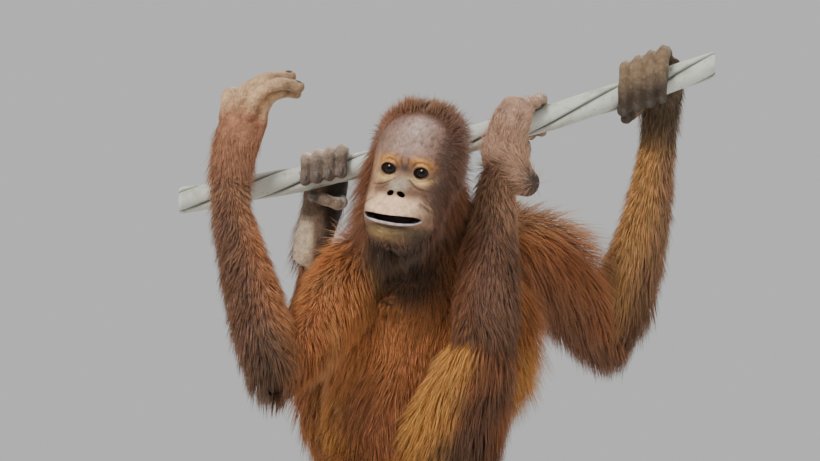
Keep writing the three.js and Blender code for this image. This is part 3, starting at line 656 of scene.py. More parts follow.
# %% Stations of the body
BODY = {
    "torso": Form([
        [-49, 28, 190, 83, 64], [-47, 31, 230, 89, 68], [-34, 37, 275, 101, 70], [-23, 41, 320, 108, 66],
        [-14, 43, 362, 105, 62], [-18, 41, 400, 86, 53], [-26, 37, 428, 56, 42],
    ], coat=24, cap=0.5),
    "pelvis": Form([
        [-38, 27, 98, 58, 50], [-40, 26, 125, 78, 64], [-46, 27, 160, 82, 66], [-49, 28, 190, 83, 64],
    ], coat=22, cap=0.5),
    "neck": Form([
        [-32, 37, 428, 58, 42], [-34, 25, 452, 57, 42], [-34, 8, 475, 50, 42], [-32, -13, 500, 41, 44],
    ], coat=12),
    "upper_arm_r": Form([
        [-90, 46, 400, 42, 42], [-119, 5, 372, 38, 39], [-150, -58, 330, 31, 32],
        [-180, -114, 298, 27, 28], [-192, -136, 284, 23, 24],
    ], coat=22),
    "forearm_r": Form([
        [-194, -136, 290, 26, 26], [-208, -104, 336, 29, 29], [-222, -66, 382, 27, 26],
        [-237, -24, 434, 22, 20], [-246, 10, 472, 20, 16], [-247, 26, 492, 20, 14],
    ], coat=18),
    "upper_arm_l": Form([
        [44, 44, 424, 44, 44], [86, 68, 420, 44, 46], [126, 98, 391, 38, 42],
        [160, 134, 342, 31, 31], [182, 152, 318, 25, 25],
    ], coat=26),
    "forearm_l": Form([
        [186, 154, 326, 26, 26], [204, 152, 362, 30, 29], [218, 147, 408, 28, 27],
        [230, 138, 456, 24, 22], [242, 127, 530, 19, 17], [246, 122, 568, 19, 14],
    ], coat=16),
    "thigh_r": Form([
        [-62, 46, 142, 54, 52], [-88, 74, 178, 51, 48], [-116, 100, 218, 45, 43],
        [-136, 118, 254, 36, 35], [-142, 124, 272, 29, 29],
    ], coat=22),
    "shank_r": Form([
        [-144, 126, 272, 30, 30], [-150, 132, 305, 33, 33], [-152, 138, 345, 29, 30],
        [-149, 141, 385, 23, 24], [-145, 140, 418, 20, 20],
    ], coat=16),
    "thigh_l": Form([
        [-14, 14, 160, 57, 54], [0, -20, 202, 54, 51], [18, -50, 248, 47, 45],
        [34, -72, 294, 38, 37], [41, -82, 318, 31, 31],
    ], coat=22),
    "shank_l": Form([
        [41, -82, 326, 32, 32], [44, -62, 362, 34, 34], [47, -36, 402, 31, 32],
        [50, -10, 440, 27, 27], [54, 10, 478, 23, 22], [61, 27, 508, 21, 19],
    ], coat=16),
}
PALMS = {
    "hand_r": Form([
        [-247, 31, 496, 20, 14], [-246, 37, 512, 24, 15], [-243, 42, 534, 26, 14],
        [-237, 44, 556, 27, 13], [-231, 43, 574, 27, 11],
    ]),
    "hand_l": Form([
        [246, 121, 572, 19, 13], [246, 123, 588, 22, 14], [246, 126, 606, 26, 14],
        [245, 125, 624, 27, 13], [243, 120, 638, 26, 11],
    ]),
    "foot_r": Form([
        [-163, 121, 414, 16, 15], [-156, 126, 432, 21, 17], [-147, 130, 458, 22, 16],
        [-141, 130, 486, 25, 14], [-140, 126, 510, 27, 13], [-140, 120, 526, 27, 11],
    ]),
    "foot_l": Form([
        [92, 10, 498, 15, 17], [78, 22, 508, 22, 20], [66, 38, 528, 27, 19],
        [68, 54, 552, 25, 15], [76, 62, 576, 23, 13], [83, 70, 590, 21, 11],
    ], side=(0.92, -0.3, 0)),
}

# %% Fingers and toes round the rope
ROPE = {"radius": 15, "half_span": 308, "y": 90, "z": 543.7, "rise": 0.2542, "sag": 0.0001443}
GRIP = ROPE["radius"] + 0.5
KNUCKLE_SWELL = 0.07


def rope_height(x):
    return ROPE["z"] + ROPE["rise"] * x + ROPE["sag"] * x * x


def round_rope(x, degrees, distance):
    """A place on a circle round the rope, by the angle from its top towards the camera."""
    a = math.radians(degrees)
    return [x, ROPE["y"] - distance * math.sin(a), rope_height(x) + distance * math.cos(a)]


def left_finger(x, i):
    return [
        [x + 14 - 2 * i, ROPE["y"] + 27, rope_height(x) + 26 + 2 * i],
        round_rope(x + 3, 4, GRIP + 13 + 1.5 * i),
        round_rope(x, 78, GRIP + 9.5),
        round_rope(x - 1, 142, GRIP + 9),
    ]


def right_toe(x):
    return [
        [x + 1, ROPE["y"] + 30, rope_height(x) + 14],
        round_rope(x, -30, GRIP + 10),
        round_rope(x, 38, GRIP + 10),
        round_rope(x - 1, 102, GRIP + 8.5),
    ]


def left_toe(x):
    return [
        [x - 4, ROPE["y"] - 23, rope_height(x) + 20],
        round_rope(x + 3, 14, GRIP + 9.5),
        round_rope(x + 5, -60, GRIP + 9),
        round_rope(x + 4, -128, GRIP + 8.5),
    ]


DIGITS = {
    "hand_r": ([8, 8.5, 8.8, 8.6, 7.6], [
        [[-262, 46, 520], [-264, 62, 538], [-258, 72, 556]],
        [[-253, 42, 574], [-250, 42, 598], [-244, 60, 602], [-240, 70, 586]],
        [[-240, 40, 578], [-231, 33, 604], [-206, 38, 618], [-179, 50, 621]],
        [[-226, 36, 576], [-216, 26, 600], [-193, 27, 612], [-169, 36, 609]],
        [[-213, 42, 567], [-207, 41, 590], [-191, 44, 602], [-172, 52, 602]],
    ]),
    "hand_l": ([8, 8.2, 8.4, 8.2, 7.6], [
        [[224, 118, 588], [212, 104, 579], [206, 84, 574]],
        *[left_finger(x, i + 1) for i, x in enumerate((203, 218, 233, 247))],
    ]),
    "foot_r": ([8, 7.8, 8, 8, 7.2], [
        [[-122, 118, 478], [-126, 98, 476], [-142, 86, 481], [-154, 84, 484]],
        *[right_toe(x) for x in (-120, -134, -148, -162)],
    ]),
    "foot_l": ([8, 7.6, 8, 8, 7.4], [
        [[84, 50, 524], [88, 66, 531], [90, 84, 538], [90, 102, 543]],
        *[left_toe(x) for x in (105, 92, 79, 66)],
    ]),
}


def digit_form(path, radius):
    """A finger or toe that swells a little at each knuckle and narrows to its tip."""
    smooth = Form([[*place, radius, radius] for place in path], side=(1, 0, ROPE["rise"]), scale=1)
    t = np.linspace(0, 1, 4 * len(path) - 3)
    centre = smooth.frame(t)[0]
    knuckle = np.cos(2 * math.pi * t * (len(path) - 1))
    size = radius * (1 - 0.16 * t) * (0.97 + KNUCKLE_SWELL * knuckle)
    return Form(np.column_stack([centre, size, size]), side=(1, 0, ROPE["rise"]), cap=0.85)


FINGERS = {
    limb: [digit_form(path, radius) for radius, path in zip(radii, paths)]
    for limb, (radii, paths) in DIGITS.items()
}

# %% One skin
body = join("body_skin", [flesh(name, form) for name, form in BODY.items()])
melt(body, 0.0052, 6)
print("trunk and limbs:", len(body.data.polygons), "faces")
combine(body, head, "UNION")
for limb, palm in PALMS.items():
    fingers = [flesh(limb + "_digit", form, 20, 40) for form in FINGERS[limb]]
    hand = join(limb + "_skin", [flesh(limb, palm, 40, 48), *fingers])
    melt(hand, 0.0017, 3)
    print(limb, len(hand.data.polygons), "faces")
    combine(body, hand, "UNION")
skin = body
skin.name = "skin"
apply_modifier(skin, "TRIANGULATE")
SKIN_LIMIT = 186_000
if len(skin.data.polygons) > SKIN_LIMIT:
    apply_modifier(skin, "DECIMATE", ratio=SKIN_LIMIT / len(skin.data.polygons))
shade_round(skin)
print("one skin:", len(skin.data.polygons), "triangles")

# %% [markdown]
# ## Markings
# The coat isn't one colour: it is bright orange on the shoulder and chest, turns dark brown on the
# elbows and shins, and golden on the inner thigh. The skin under it darkens with it, so that no
# pale skin shows between the hairs. Some colours are also painted shade and light: near black
# under the chin, darker in folds and hollows, paler or darker where a limb faces the key light or
# turns from it. Colours could be painted by hand on the mesh. We write them as rules instead, named
# colours mixed by soft masks, and use the same rules for skin and hair.

# %% Colours of the coat
ORANGE = (0.64, 0.235, 0.075)
RUST = (0.36, 0.115, 0.04)
GOLD = (0.80, 0.37, 0.085)
UMBER = (0.15, 0.063, 0.034)
DARK = (0.05, 0.028, 0.019)
MAUVE = (0.26, 0.125, 0.082)
SAND = (0.62, 0.33, 0.13)
# Painted shadow: round the throat, under the chin, the coat is darkened to near black.
THROAT_SHADOW = {"at": (-0.045, -0.015, 0.405), "size": (0.041, 0.05, 0.036)}


def mix(low, high, mask):
    mask = np.asarray(mask)[..., None]
    return np.asarray(low) * (1 - mask) + np.asarray(high) * mask


def waves(points, length, turn=0.0):
    """A smooth blotchy pattern between 0 and 1 from a few crossing waves."""
    total = 0
    for k, way in enumerate(((0.9, 0.3, 0.5), (-0.4, 0.8, 0.6), (0.3, -0.5, 0.9), (0.7, 0.6, -0.4))):
        total = total + np.sin(points @ np.array(way) * (1 + 0.37 * k) / length + 1.7 * k + turn)
    return 0.5 + 0.125 * total


def coat_colour(name, points, normals, t):
    """The colour of the hair at each root."""
    x, _, z = points.T
    toward_right = step(normals[:, 0], -0.3, 0.7)
    ahead = step(-normals[:, 1], -0.2, 0.7)
    if name == "torso":
        colour = mix(ORANGE, RUST, step(waves(points, 0.035), 0.35, 0.8) * 0.7)
        colour = mix(colour, UMBER, 0.45 * (1 - ahead) * (1 - np.abs(normals[:, 0])))
        colour = mix(colour, GOLD, 0.7 * step(-x, 0.10, 0.135) * step(0.32 - z, 0, 0.1))
        colour = mix(colour, GOLD, 0.7 * step(normals[:, 0], 0.3, 0.8) * step(0.36 - z, 0, 0.05))
    elif name == "pelvis":
        colour = mix(RUST, GOLD, 0.5 * step(0.17 - z, 0, 0.06))
    elif name == "neck":
        # The front of the neck is darker: painted shade under the chin.
        colour = mix(RUST, UMBER, 0.6 * ahead)
    elif name == "upper_arm_r":
        colour = mix(ORANGE, SAND, 0.45 * step(waves(points, 0.02), 0.5, 0.8))
        colour = mix(colour, RUST, 0.7 * step(t, 0.35, 0.8))
        colour = mix(colour, DARK, 0.8 * step(t, 0.75, 1) * (1 - step(normals[:, 2], -0.5, 0.3)))
    elif name == "forearm_r":
        colour = mix(MAUVE, UMBER, 0.8 * step(waves(points, 0.012), 0.3, 0.8) * (1 - toward_right))
        colour = mix(colour, ORANGE, 0.65 * toward_right)
        colour = mix(colour, DARK, 0.7 * step(0.25 - t, 0, 0.25) * ahead)
        colour = mix(colour, (0.37, 0.18, 0.10), step(t, 0.66, 0.95))
    elif name == "upper_arm_l":
        colour = mix(RUST, ORANGE, 0.6 * step(waves(points, 0.02), 0.4, 0.8))
        # Painted light: paler on top, where the key light falls, and darker underneath, as shade.
        colour = mix(colour, SAND, 0.5 * step(normals[:, 2], 0.3, 0.9))
        colour = mix(colour, UMBER, 0.6 * step(-normals[:, 2], 0.2, 0.8))
    elif name == "forearm_l":
        colour = mix(SAND, MAUVE, 0.7 * toward_right)
        colour = mix(colour, UMBER, 0.8 * step(0.55 - t, 0, 0.4) * step(normals[:, 0], -0.1, 0.6))
        colour = mix(colour, GOLD, 0.4 * step(t, 0.35, 0.8) * (1 - toward_right))
        colour = mix(colour, DARK, 0.75 * step(0.16 - t, 0, 0.2))
        # Painted shade: near black at the wrist, below the gripping hand.
        colour = mix(colour, (0.12, 0.075, 0.04), 0.85 * step(t, 0.82, 0.97))
    elif name == "thigh_r":
        colour = mix(RUST, GOLD, 0.45 * step(waves(points, 0.03), 0.4, 0.8))
    elif name == "shank_r":
        colour = mix(RUST, ORANGE, 0.6 * step(waves(points, 0.02), 0.3, 0.8))
    elif name == "thigh_l":
        inner = step(-normals[:, 0] + 0.35 * normals[:, 2], -0.25, 0.65)
        colour = mix(UMBER, RUST, step(waves(points, 0.02), 0.3, 0.8))
        colour = mix(colour, GOLD, 0.95 * inner)
        # Painted shade: darker towards the knee, on the side that turns from the light.
        colour = mix(colour, DARK, 0.35 * step(t, 0.6, 0.95) * (1 - inner))
    else:
        colour = mix(MAUVE, UMBER, 0.9 * step(waves(points, 0.018), 0.3, 0.75))
        colour = mix(colour, RUST, 0.5 * step(-normals[:, 0], 0.1, 0.8))
        colour = mix(colour, UMBER, 0.6 * step(0.28 - t, 0, 0.25))
        colour = mix(colour, (0.54, 0.29, 0.17), 0.75 * step(t, 0.5, 0.8))
    # Painted shadow under the chin: the coat near the throat goes near black.
    from_throat = np.linalg.norm((points - THROAT_SHADOW["at"]) / THROAT_SHADOW["size"], axis=1)
    return mix(colour, DARK, np.clip(1.6 * bell(from_throat), 0, 0.96))


def head_hair_colour(local):
    """The colour of the hair of the head, from its place on the head in millimetres."""
    right_side = step(local[:, 0], -20, 30)
    colour = mix((0.27, 0.10, 0.045), (0.15, 0.058, 0.036), 0.85 * right_side)
    low = step(-local[:, 2], 5, 40)
    colour = mix(colour, (0.33, 0.13, 0.06), 0.7 * low * (1 - right_side))
    colour = mix(colour, (0.22, 0.115, 0.06), 0.6 * step(local[:, 2], 55, 72))
    # Painted shadow: the hair under the chin goes near black.
    return mix(colour, DARK, 0.95 * step(-local[:, 2], 68, 82) * step(75 - local[:, 1], 0, 30))


# %% Colours of the bare skin
# Three of these are painted shade: the near black of the throat, the inside of mouth and nostrils, and the
# margin, which also darkens the folds.
FACE = {
    "cheek": (0.22, 0.115, 0.075), "forehead": (0.40, 0.275, 0.235), "temple": (0.13, 0.066, 0.048),
    "lid": (0.68, 0.33, 0.095), "below eye": (0.80, 0.55, 0.26), "nose": (0.46, 0.39, 0.30),
    "muzzle": (1.0, 0.70, 0.45), "chin": (0.17, 0.11, 0.05), "lip": (0.62, 0.56, 0.62),
    "margin": (0.04, 0.024, 0.018), "shadow": (0.045, 0.03, 0.022), "inside": (0.022, 0.012, 0.012),
}


def face_colour(local):
    """The colour of the face, from places on the head in millimetres."""
    x, y, z = local.T
    side = np.abs(x)
    colour = mix(FACE["cheek"], FACE["forehead"], step(z, 8, 24) * bell((x + 3) / 34))
    # Painted highlight: a paler patch high on the forehead.
    colour = mix(colour, (0.62, 0.50, 0.46), 0.7 * bell(np.hypot((x + 1) / 15, (z - 47) / 16)))
    right_cheek = step(-x, 22, 34) * step(z, -40, -25) * step(-z, -22, -12)
    colour = mix(colour, (0.50, 0.30, 0.17), 0.6 * right_cheek)
    colour = mix(colour, FACE["temple"], 0.9 * step(x, 24, 40) * step(z, -55, -35))
    colour = mix(colour, FACE["temple"], 0.7 * step(-x, 38, 50))
    above = np.clip(1.35 * bell(np.hypot((side - 21) / 12.5, (z - 9.5 + 0.12 * (side - 21)) / 6)), 0, 1)
    below = np.clip(1.35 * bell(np.hypot((side - 20.5) / 12, (z + 8.5) / 6)), 0, 1)
    shade = 1 - 0.35 * step(x, 18, 34)
    colour = mix(colour, FACE["lid"], above * shade)
    colour = mix(colour, FACE["below eye"], below * shade)
    # A dark mark between the eyes, partly painted shade in the hollow at the root of the nose.
    colour = mix(colour, FACE["margin"], 0.8 * bell(np.hypot(x / 8.5, (z - 2.5) / 4.5)))
    colour = mix(colour, FACE["nose"], np.clip(1.3 * bell(np.hypot(x / 11, (z + 17) / 9)), 0, 1))
    muzzle = np.clip(1.9 * bell(np.hypot((x + 3) / 29, (z + 41) / 14)), 0, 1)
    colour = mix(colour, FACE["muzzle"], muzzle * step(-z, 23, 34))
    colour = mix(colour, FACE["chin"], step(-z, 61, 65) * step(34 - y, 0, 40))
    # Painted light: a lit, golden patch low on the chin's right half.
    chin_light = bell(np.hypot((x + 12) / 13, (z + 76) / 6))
    colour = mix(colour, (0.46, 0.32, 0.13), 0.7 * chin_light * step(34 - y, 0, 30))
    # Painted shadow: a band under the lower lip, the underside of the chin and the chin's left half.
    colour = mix(colour, FACE["shadow"], 0.6 * bell((z + 64.5) / 2.6) * bell((x - 3) / 22))
    colour = mix(colour, FACE["shadow"], step(-z, 78, 86))
    colour = mix(colour, FACE["shadow"], 0.8 * step(x, 8, 34) * step(-z, 56, 72))
    crease = 0
    for line, half, deep in FOLDS[:6]:
        away, _ = distance_to_line(side, z, line)
        crease = np.maximum(crease, min(1, 0.6 * deep) * bell(away / (1.1 * half)))
    # Painted shade in the folds of the face.
    colour = mix(colour, FACE["margin"], 0.75 * crease * step(-y, -36, -20))
    tall = 0.5 * (EYE["top"] + EYE["low"]) + 1.2
    eye_turn = np.hypot((side - EYE["spread"]) / (EYE["wide"] + 0.9), (z + 0.5) / tall)
    colour = mix(colour, FACE["margin"], 0.9 * step(-eye_turn, -1.12, -0.98))
    s = (np.arctan2(x, 12.0 - y) - MOUTH["shift"]) / MOUTH["turn"]
    line_z = MOUTH["z"] + MOUTH["rise"] * s * s
    open_here = half_opening(s)
    lower = bell((z - (line_z - open_here - 0.7)) / 1.25) * step(1.03 - np.abs(s), 0, 0.05)
    colour = mix(colour, FACE["lip"], np.clip(1.25 * lower, 0, 1) * step(-y, -26, -8))
    sunk = step(y - head_surface(local)[:, 1], 2.0, 4.5)
    in_mouth = step(open_here + 0.8 - np.abs(z - line_z), 0, 0.8) * step(1.02 - np.abs(s), 0, 0.04)
    nostril = np.hypot((side - NOSTRIL["spread"]) / 6.2, (z - NOSTRIL["z"]) / 4.3)
    # Painted shade: the hollows of the mouth and nostrils go near black.
    colour = mix(colour, FACE["inside"], sunk * np.maximum(in_mouth, step(-nostril, -1.15, -0.95)))
    return colour


HAND_COLOURS = {
    "hand_r": ((0.40, 0.185, 0.10), (0.66, 0.44, 0.26)),
    "hand_l": ((0.14, 0.092, 0.055), (0.27, 0.19, 0.115)),
    "foot_r": ((0.20, 0.13, 0.09), (0.98, 0.78, 0.62)),
    "foot_l": ((0.47, 0.29, 0.205), (0.52, 0.36, 0.27)),
}
# How much painted shade darkens the far ends of the digits, where they curl round the rope.
TIP_SHADE = {"hand_r": 0.3, "hand_l": 0.85, "foot_r": 0.85, "foot_l": 0.3}


def limb_colour(limb, points, t, on_digit):
    """The colour of a hand or foot, with its paler or darker tips."""
    base, tips = HAND_COLOURS[limb]
    colour = mix(base, tips, step(on_digit, 0, 0.35))
    blotch = step(waves(points, 0.0045), 0.45, 0.8)
    colour = mix(colour, np.asarray(base) * 0.5, (0.5 - 0.35 * step(on_digit, 0, 0.3)) * blotch)
    # The far ends of the digits get painted shade where they curl round the rope.
    colour = mix(colour, (0.05, 0.036, 0.03), TIP_SHADE[limb] * step(on_digit, 0.5, 0.88))
    if limb == "foot_l":
        heel = step(-t, -0.3, -0.05) * step(points[:, 0], 0.075, 0.098)
        colour = mix(colour, (0.045, 0.033, 0.026), 0.9 * heel)
    if limb == "foot_r":
        # The heel is paler: its own pale creased skin, with painted light on its lit edge.
        heel = step(-t, -0.42, -0.3) * step(-points[:, 0], 0.15, 0.16)
        colour = mix(colour, (0.72, 0.58, 0.42), heel)
        # Painted shadow on the sole, under the big toe.
        colour = mix(colour, (0.03, 0.024, 0.02), 0.9 * step(points[:, 0], -0.147, -0.135) * (1 - on_digit))
    return colour


# %% Paint the skin
def paint(piece, name, colours):
    """Stores a colour at every point of a piece."""
    attribute = piece.data.attributes.new(name, "FLOAT_COLOR", "POINT")
    full = np.column_stack([colours, np.ones(len(colours))]).astype(np.float32)
    attribute.data.foreach_set("color", full.ravel())


place = points_of(skin)
normals = np.empty(len(place) * 3, np.float32)
skin.data.vertices.foreach_get("normal", normals)
normals = normals.reshape(-1, 3).astype(float)
local = turned_back(place)
nearest = np.full(len(place), 1e9)
colours = np.zeros((len(place), 3))
bare = np.zeros(len(place))
comb = place.copy()
for name, form in BODY.items():
    reach, t = form.reach(place)
    chosen = reach < nearest
    nearest[chosen] = reach[chosen]
    colours[chosen] = 0.55 * coat_colour(name, place[chosen], normals[chosen], t[chosen])
    comb[chosen] = unrolled(form, place[chosen]) * (0.055, 1, 1)
for limb, palm in PALMS.items():
    for k, form in enumerate([palm, *FINGERS[limb]]):
        reach, t = form.reach(place)
        chosen = reach < np.minimum(nearest, 1.6)
        nearest[chosen] = reach[chosen]
        own = t[chosen]
        along_palm, on_digit = (own, 0 * own) if k == 0 else (0.6 + 0 * own, 0.05 + own)
        colours[chosen] = limb_colour(limb, place[chosen], along_palm, on_digit)
        comb[chosen] = place[chosen]
        bare[chosen] = 1
on_head = (local[:, 2] > -92) & (local[:, 1] < 112) & (np.abs(local[:, 0]) < 66) & (local[:, 2] < 80)
on_head &= within_head(local, 12) & (bare == 0)
behind = step(local[:, 1], 24, 44)
hairy = mix(face_colour(local), 0.6 * head_hair_colour(local), behind)
colours[on_head] = hairy[on_head]
comb[on_head] = place[on_head]
bare[on_head] = 0.4 * (1 - behind[on_head])
paint(skin, "tint", np.clip(colours, 0, 1))
store(skin, "comb", comb)
store(skin, "creased", bare)
print("points painted:", len(place))

# %% [markdown]
# ## The finish of the skin
# Skin is never even: it is mottled and finely creased, most on the hands and feet. Its tint comes
# from the markings. Noise breaks the tint up, and two sizes of Voronoi cells give the net of
# creases that shows on knuckles, palms and soles. Under the long hair lies a short dense coat. Hair
# so short needs no shape of its own: it is noise stretched along each limb, as fine streaks.

# %% Skin material
skin_finish, shader, start = material(
    "ape skin", Roughness=0.55, Subsurface_Weight=0.04, Subsurface_Scale=0.003, Specular_IOR_Level=0.35
)
position = object_place(start)
tint = start.node("Attribute", {"attribute_name": "tint"})
creased = stored_number(start, "creased")
combed = start.node("Attribute", {"attribute_name": "comb"}, out=1)
streaks = noise(start, combed, 950.0, 3.0)
mottle = noise(start, position, 130.0)
pores = noise(start, position, 900.0, 2.0)
fine_net = start.node("TexVoronoi", {"feature": "DISTANCE_TO_EDGE"}, {"Vector": position, "Scale": 420.0})
broad_net = start.node("TexVoronoi", {"feature": "DISTANCE_TO_EDGE"}, {"Vector": position, "Scale": 170.0})
creases = (1 - (fine_net * 6).clamped()) * 0.6 + (1 - (broad_net * 7).clamped()) * creased * 0.8
furry = (1 - creased * 3).clamped()
blotches = (mottle * 1.7 - 0.45 + creases * 0.2).clamped()
shade = (1.5 - streaks * 1.6).clamped() * furry + blotches * (1 - furry)
darker = blend(tint, (0.52, 0.47, 0.45), 1.0, "MULTIPLY")
lighter = blend(tint, (1.2, 1.15, 1.1), 1.0, "MULTIPLY")
colour = blend(lighter, darker, shade)
height = creases * -0.6 + pores * 0.3 + mottle * 0.3 + streaks * furry * 1.2
connect(shader, Base_Color=colour, Roughness=0.46 + mottle * 0.2, Normal=bump(start, height, 0.8, 0.0012))
skin.data.materials.clear()
skin.data.materials.append(skin_finish)

eyes = ("eye_r", "eye_l")
flesh_nodes = [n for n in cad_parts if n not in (*eyes, "perch_rope", "stand_base", "stand_rod")]
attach(skin, "root")
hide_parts(*flesh_nodes)
print("the skin stands for", len(flesh_nodes), "nodes")

# %% [markdown]
# ## The eyes
# An orangutan's eye is nearly all iris, a very dark brown, under a clear wet cornea that bulges
# forward. A plain ball would look like a bead, so the ball's front is pushed out where the cornea
# is, and each point keeps its angle from the line of sight for the rings of pupil, iris and white.

# %% Eyeballs
GAZE_TURN = 9
PUPIL, IRIS = 12, 36


def eyeball(name, sign):
    radius = EYE["radius"]
    bpy.ops.mesh.primitive_uv_sphere_add(segments=64, ring_count=48, radius=radius)
    eye = bpy.context.object
    eye.name = name
    place = points_of(eye)
    off_axis = np.degrees(np.arccos(np.clip(place[:, 2] / radius, -1, 1)))
    place *= (1 + 0.055 * bell(off_axis / 26))[:, None]
    look = Matrix.Rotation(math.radians(GAZE_TURN), 4, "Z") @ Matrix.Rotation(math.pi / 2, 4, "X")
    place = place @ np.array(look)[:3, :3].T + (sign * EYE["spread"], EYE["back"], 0)
    move_points(eye, turned(place))
    store(eye, "off_axis", off_axis)
    shade_round(eye)
    return eye


eye_finish, shader, start = material(
    "wet eye", Roughness=0.3, Specular_IOR_Level=0.0, Coat_Weight=0.45, Coat_Roughness=0.015
)
off_axis = stored_number(start, "off_axis")
streaks = noise(start, object_place(start), 900.0, 2.0)
iris_brown = blend((0.007, 0.0035, 0.0025), (0.020, 0.009, 0.005), streaks)
in_iris = ((off_axis - PUPIL) * 0.5).clamped()
in_white = ((off_axis - IRIS) * 0.35).clamped()
limbus = 1 - ((off_axis - (IRIS - 7)) * 0.14).clamped()
colour = blend((0.002, 0.0015, 0.0015), iris_brown, in_iris * limbus)
connect(shader, Base_Color=blend(colour, (0.020, 0.012, 0.009), in_white))
for name, sign in zip(eyes, (-1, 1)):
    eye = eyeball(name + "_ball", sign)
    eye.data.materials.append(eye_finish)
    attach(eye, "root")
    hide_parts(name)
print("iris across:", round(2 * EYE["radius"] * math.sin(math.radians(IRIS)), 1), "mm")

# %% [markdown]
# ## Nails
# Each finger and toe ends in a dark, narrow nail that follows the curve of its tip. A nail is one
# shape with twenty places, so we squash a ball once for each and turn it to the tip's own
# directions: along the digit, across it, and out of its back, which is the outer side of its bend.

# %% Nails on every tip
NAIL = {"half_wide": 0.62, "half_long": 0.85, "thick": 0.16, "out": 0.86}


def nail(form, path):
    centre, along, _, _, wide, _ = form.frame(np.array([0.97]))
    path = np.array(path, float)
    bend = path[-1] - 2 * path[-2] + path[-3]
    back = unit(-bend + along[0] * (bend @ along[0]))
    side = np.cross(along[0], back)
    made = ball("nail", (0, 0, 0), (NAIL["half_wide"], NAIL["half_long"], NAIL["thick"]), 20, 12)
    place = points_of(made)
    place[:, 2] -= 0.5 * place[:, 0] ** 2 + 0.25 * np.maximum(place[:, 1], 0) ** 2
    turn = np.stack([side, along[0], back])
    move_points(made, centre[0] + wide[0] * ((place + (0, 0.1, NAIL["out"])) @ turn))
    return made


nails = join("nails", [
    nail(form, path)
    for limb, forms in FINGERS.items() for form, path in zip(forms, DIGITS[limb][1])
])
shade_round(nails)
horn, shader, start = material("horn", Roughness=0.5)
ridges = noise(start, object_place(start), 500.0)
connect(shader, Base_Color=blend((0.045, 0.034, 0.027), (0.085, 0.065, 0.052), ridges))
nails.data.materials.append(horn)
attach(nails, "root")
print("nails:", len(nails.data.polygons), "faces")

# %% [markdown]
# ## The rope
# The perch is a short cut length of laid rope: three fat smooth strands, so tightly twisted that
# only narrow dark grooves part them. Three separate tubes could be twisted together, but the
# strands are pressed flat against each other, so one closed cylinder with three grooves is truer.
# Its long edges alone are divided, twice, in edit mode. Each ring is then turned by the lay and set
# at the rope's own height, so that the grooves run along the columns of points.

# %% Laid rope
LAY = {"pitch": 300, "crown": 2.0, "groove": 2.2, "sharp": 8.0, "columns": 216, "cuts": 15}

bpy.ops.mesh.primitive_cylinder_add(vertices=LAY["columns"], radius=1, depth=2)
rope = bpy.context.object
rope.name = "rope"
for _ in range(2):
    select_edges(rope, lambda a, b: abs(a[2] - b[2]) > 1e-4)
    bpy.ops.mesh.subdivide(number_cuts=LAY["cuts"])
    bpy.ops.object.mode_set(mode="OBJECT")

ring = points_of(rope)
column = np.arctan2(ring[:, 1], ring[:, 0])
x = ROPE["half_span"] * ring[:, 2]
off_groove = np.degrees(np.abs((column + math.pi / 3) % (2 * math.pi / 3) - math.pi / 3))
from_groove = 60 - off_groove
radius = ROPE["radius"] + 0.5 - LAY["crown"] * np.square(off_groove / 60)
radius -= LAY["groove"] * bell(from_groove / LAY["sharp"])
radius += 0.25 * np.sin(x / 17.0) * np.cos(3 * column)
radius -= 1.4 * step(np.abs(x), ROPE["half_span"] - 2.5, ROPE["half_span"])
angle = column - 2 * math.pi * x / LAY["pitch"] + math.pi / 3
slope = ROPE["rise"] + 2 * ROPE["sag"] * x
place = np.stack([
    x, ROPE["y"] + radius * np.cos(angle), rope_height(x) + radius * np.sin(angle) * np.hypot(1, slope)
], -1)
move_points(rope, place * MM)
store(rope, "lay", np.stack([x, radius * np.cos(column), radius * np.sin(column)], -1))
store(rope, "groove", bell(from_groove / 9))
shade_by_angle(rope, 50)
print("rope:", len(rope.data.polygons), "faces")

# %% Weathered rope
rope_finish, shader, start = material("weathered rope", Roughness=0.75)
along_lay = start.node("Attribute", {"attribute_name": "lay"}, out=1)
stretched = stretched_by(along_lay, (0.05, 1.0, 1.0))
fibres = noise(start, stretched, 2.2, 4.0)
stains = noise(start, object_place(start), 26.0, 5.0, 0.6)
specks = noise(start, object_place(start), 240.0, 2.0)
groove_shade = stored_number(start, "groove")
pale = blend((0.47, 0.49, 0.43), (0.72, 0.74, 0.67), fibres)
stained = blend(pale, (0.20, 0.225, 0.165), ((stains - 0.52) * 5).clamped() * 0.75)
speckled = blend(stained, (0.13, 0.14, 0.11), ((specks - 0.62) * 8).clamped() * 0.6)
# Painted shade: the grooves between the strands are darkened.
connect(shader, Base_Color=blend(speckled, (0.10, 0.105, 0.085), (groove_shade * 0.95).clamped()),
        Roughness=0.62 + stains * 0.25, Normal=bump(start, fibres * 0.8 + specks * 0.3, 0.5, 0.0006))
rope.data.materials.append(rope_finish)
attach(rope, "root")
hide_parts("perch_rope")

# %% [markdown]
# ## The stand
# A flat base of stained hardwood and one steel rod hold the model up. The base starts as a cube of
# the board's size: its four upright edges are bevelled to the round corners, then the rim at the
# top is eased, as a maker does so that it isn't sharp. The rod is a plain turned bar with a collar
# where it enters the wood.

# %% Base, rod and collar
BASE = {"width": 0.5, "depth": 0.44, "height": 0.018, "corner": 0.04, "ease": 0.003}
ROD = {"radius": 0.011, "x": -0.04, "y": 0.028, "top": 0.13}
COLLAR = {"radius": 0.021, "height": 0.012}

bpy.ops.mesh.primitive_cube_add(size=1, location=(0, 0, BASE["height"] / 2))
board = bpy.context.object
board.name = "base_board"
board.scale = (BASE["width"], BASE["depth"], BASE["height"])
bpy.ops.object.transform_apply(location=True, rotation=True, scale=True)


def bevel_edges(piece, chosen, width, segments):
    """Bevels the edges that a test on their two ends picks."""
    select_edges(piece, chosen)
    bpy.ops.mesh.bevel(offset=width, segments=segments, affect="EDGES")
    bpy.ops.object.mode_set(mode="OBJECT")


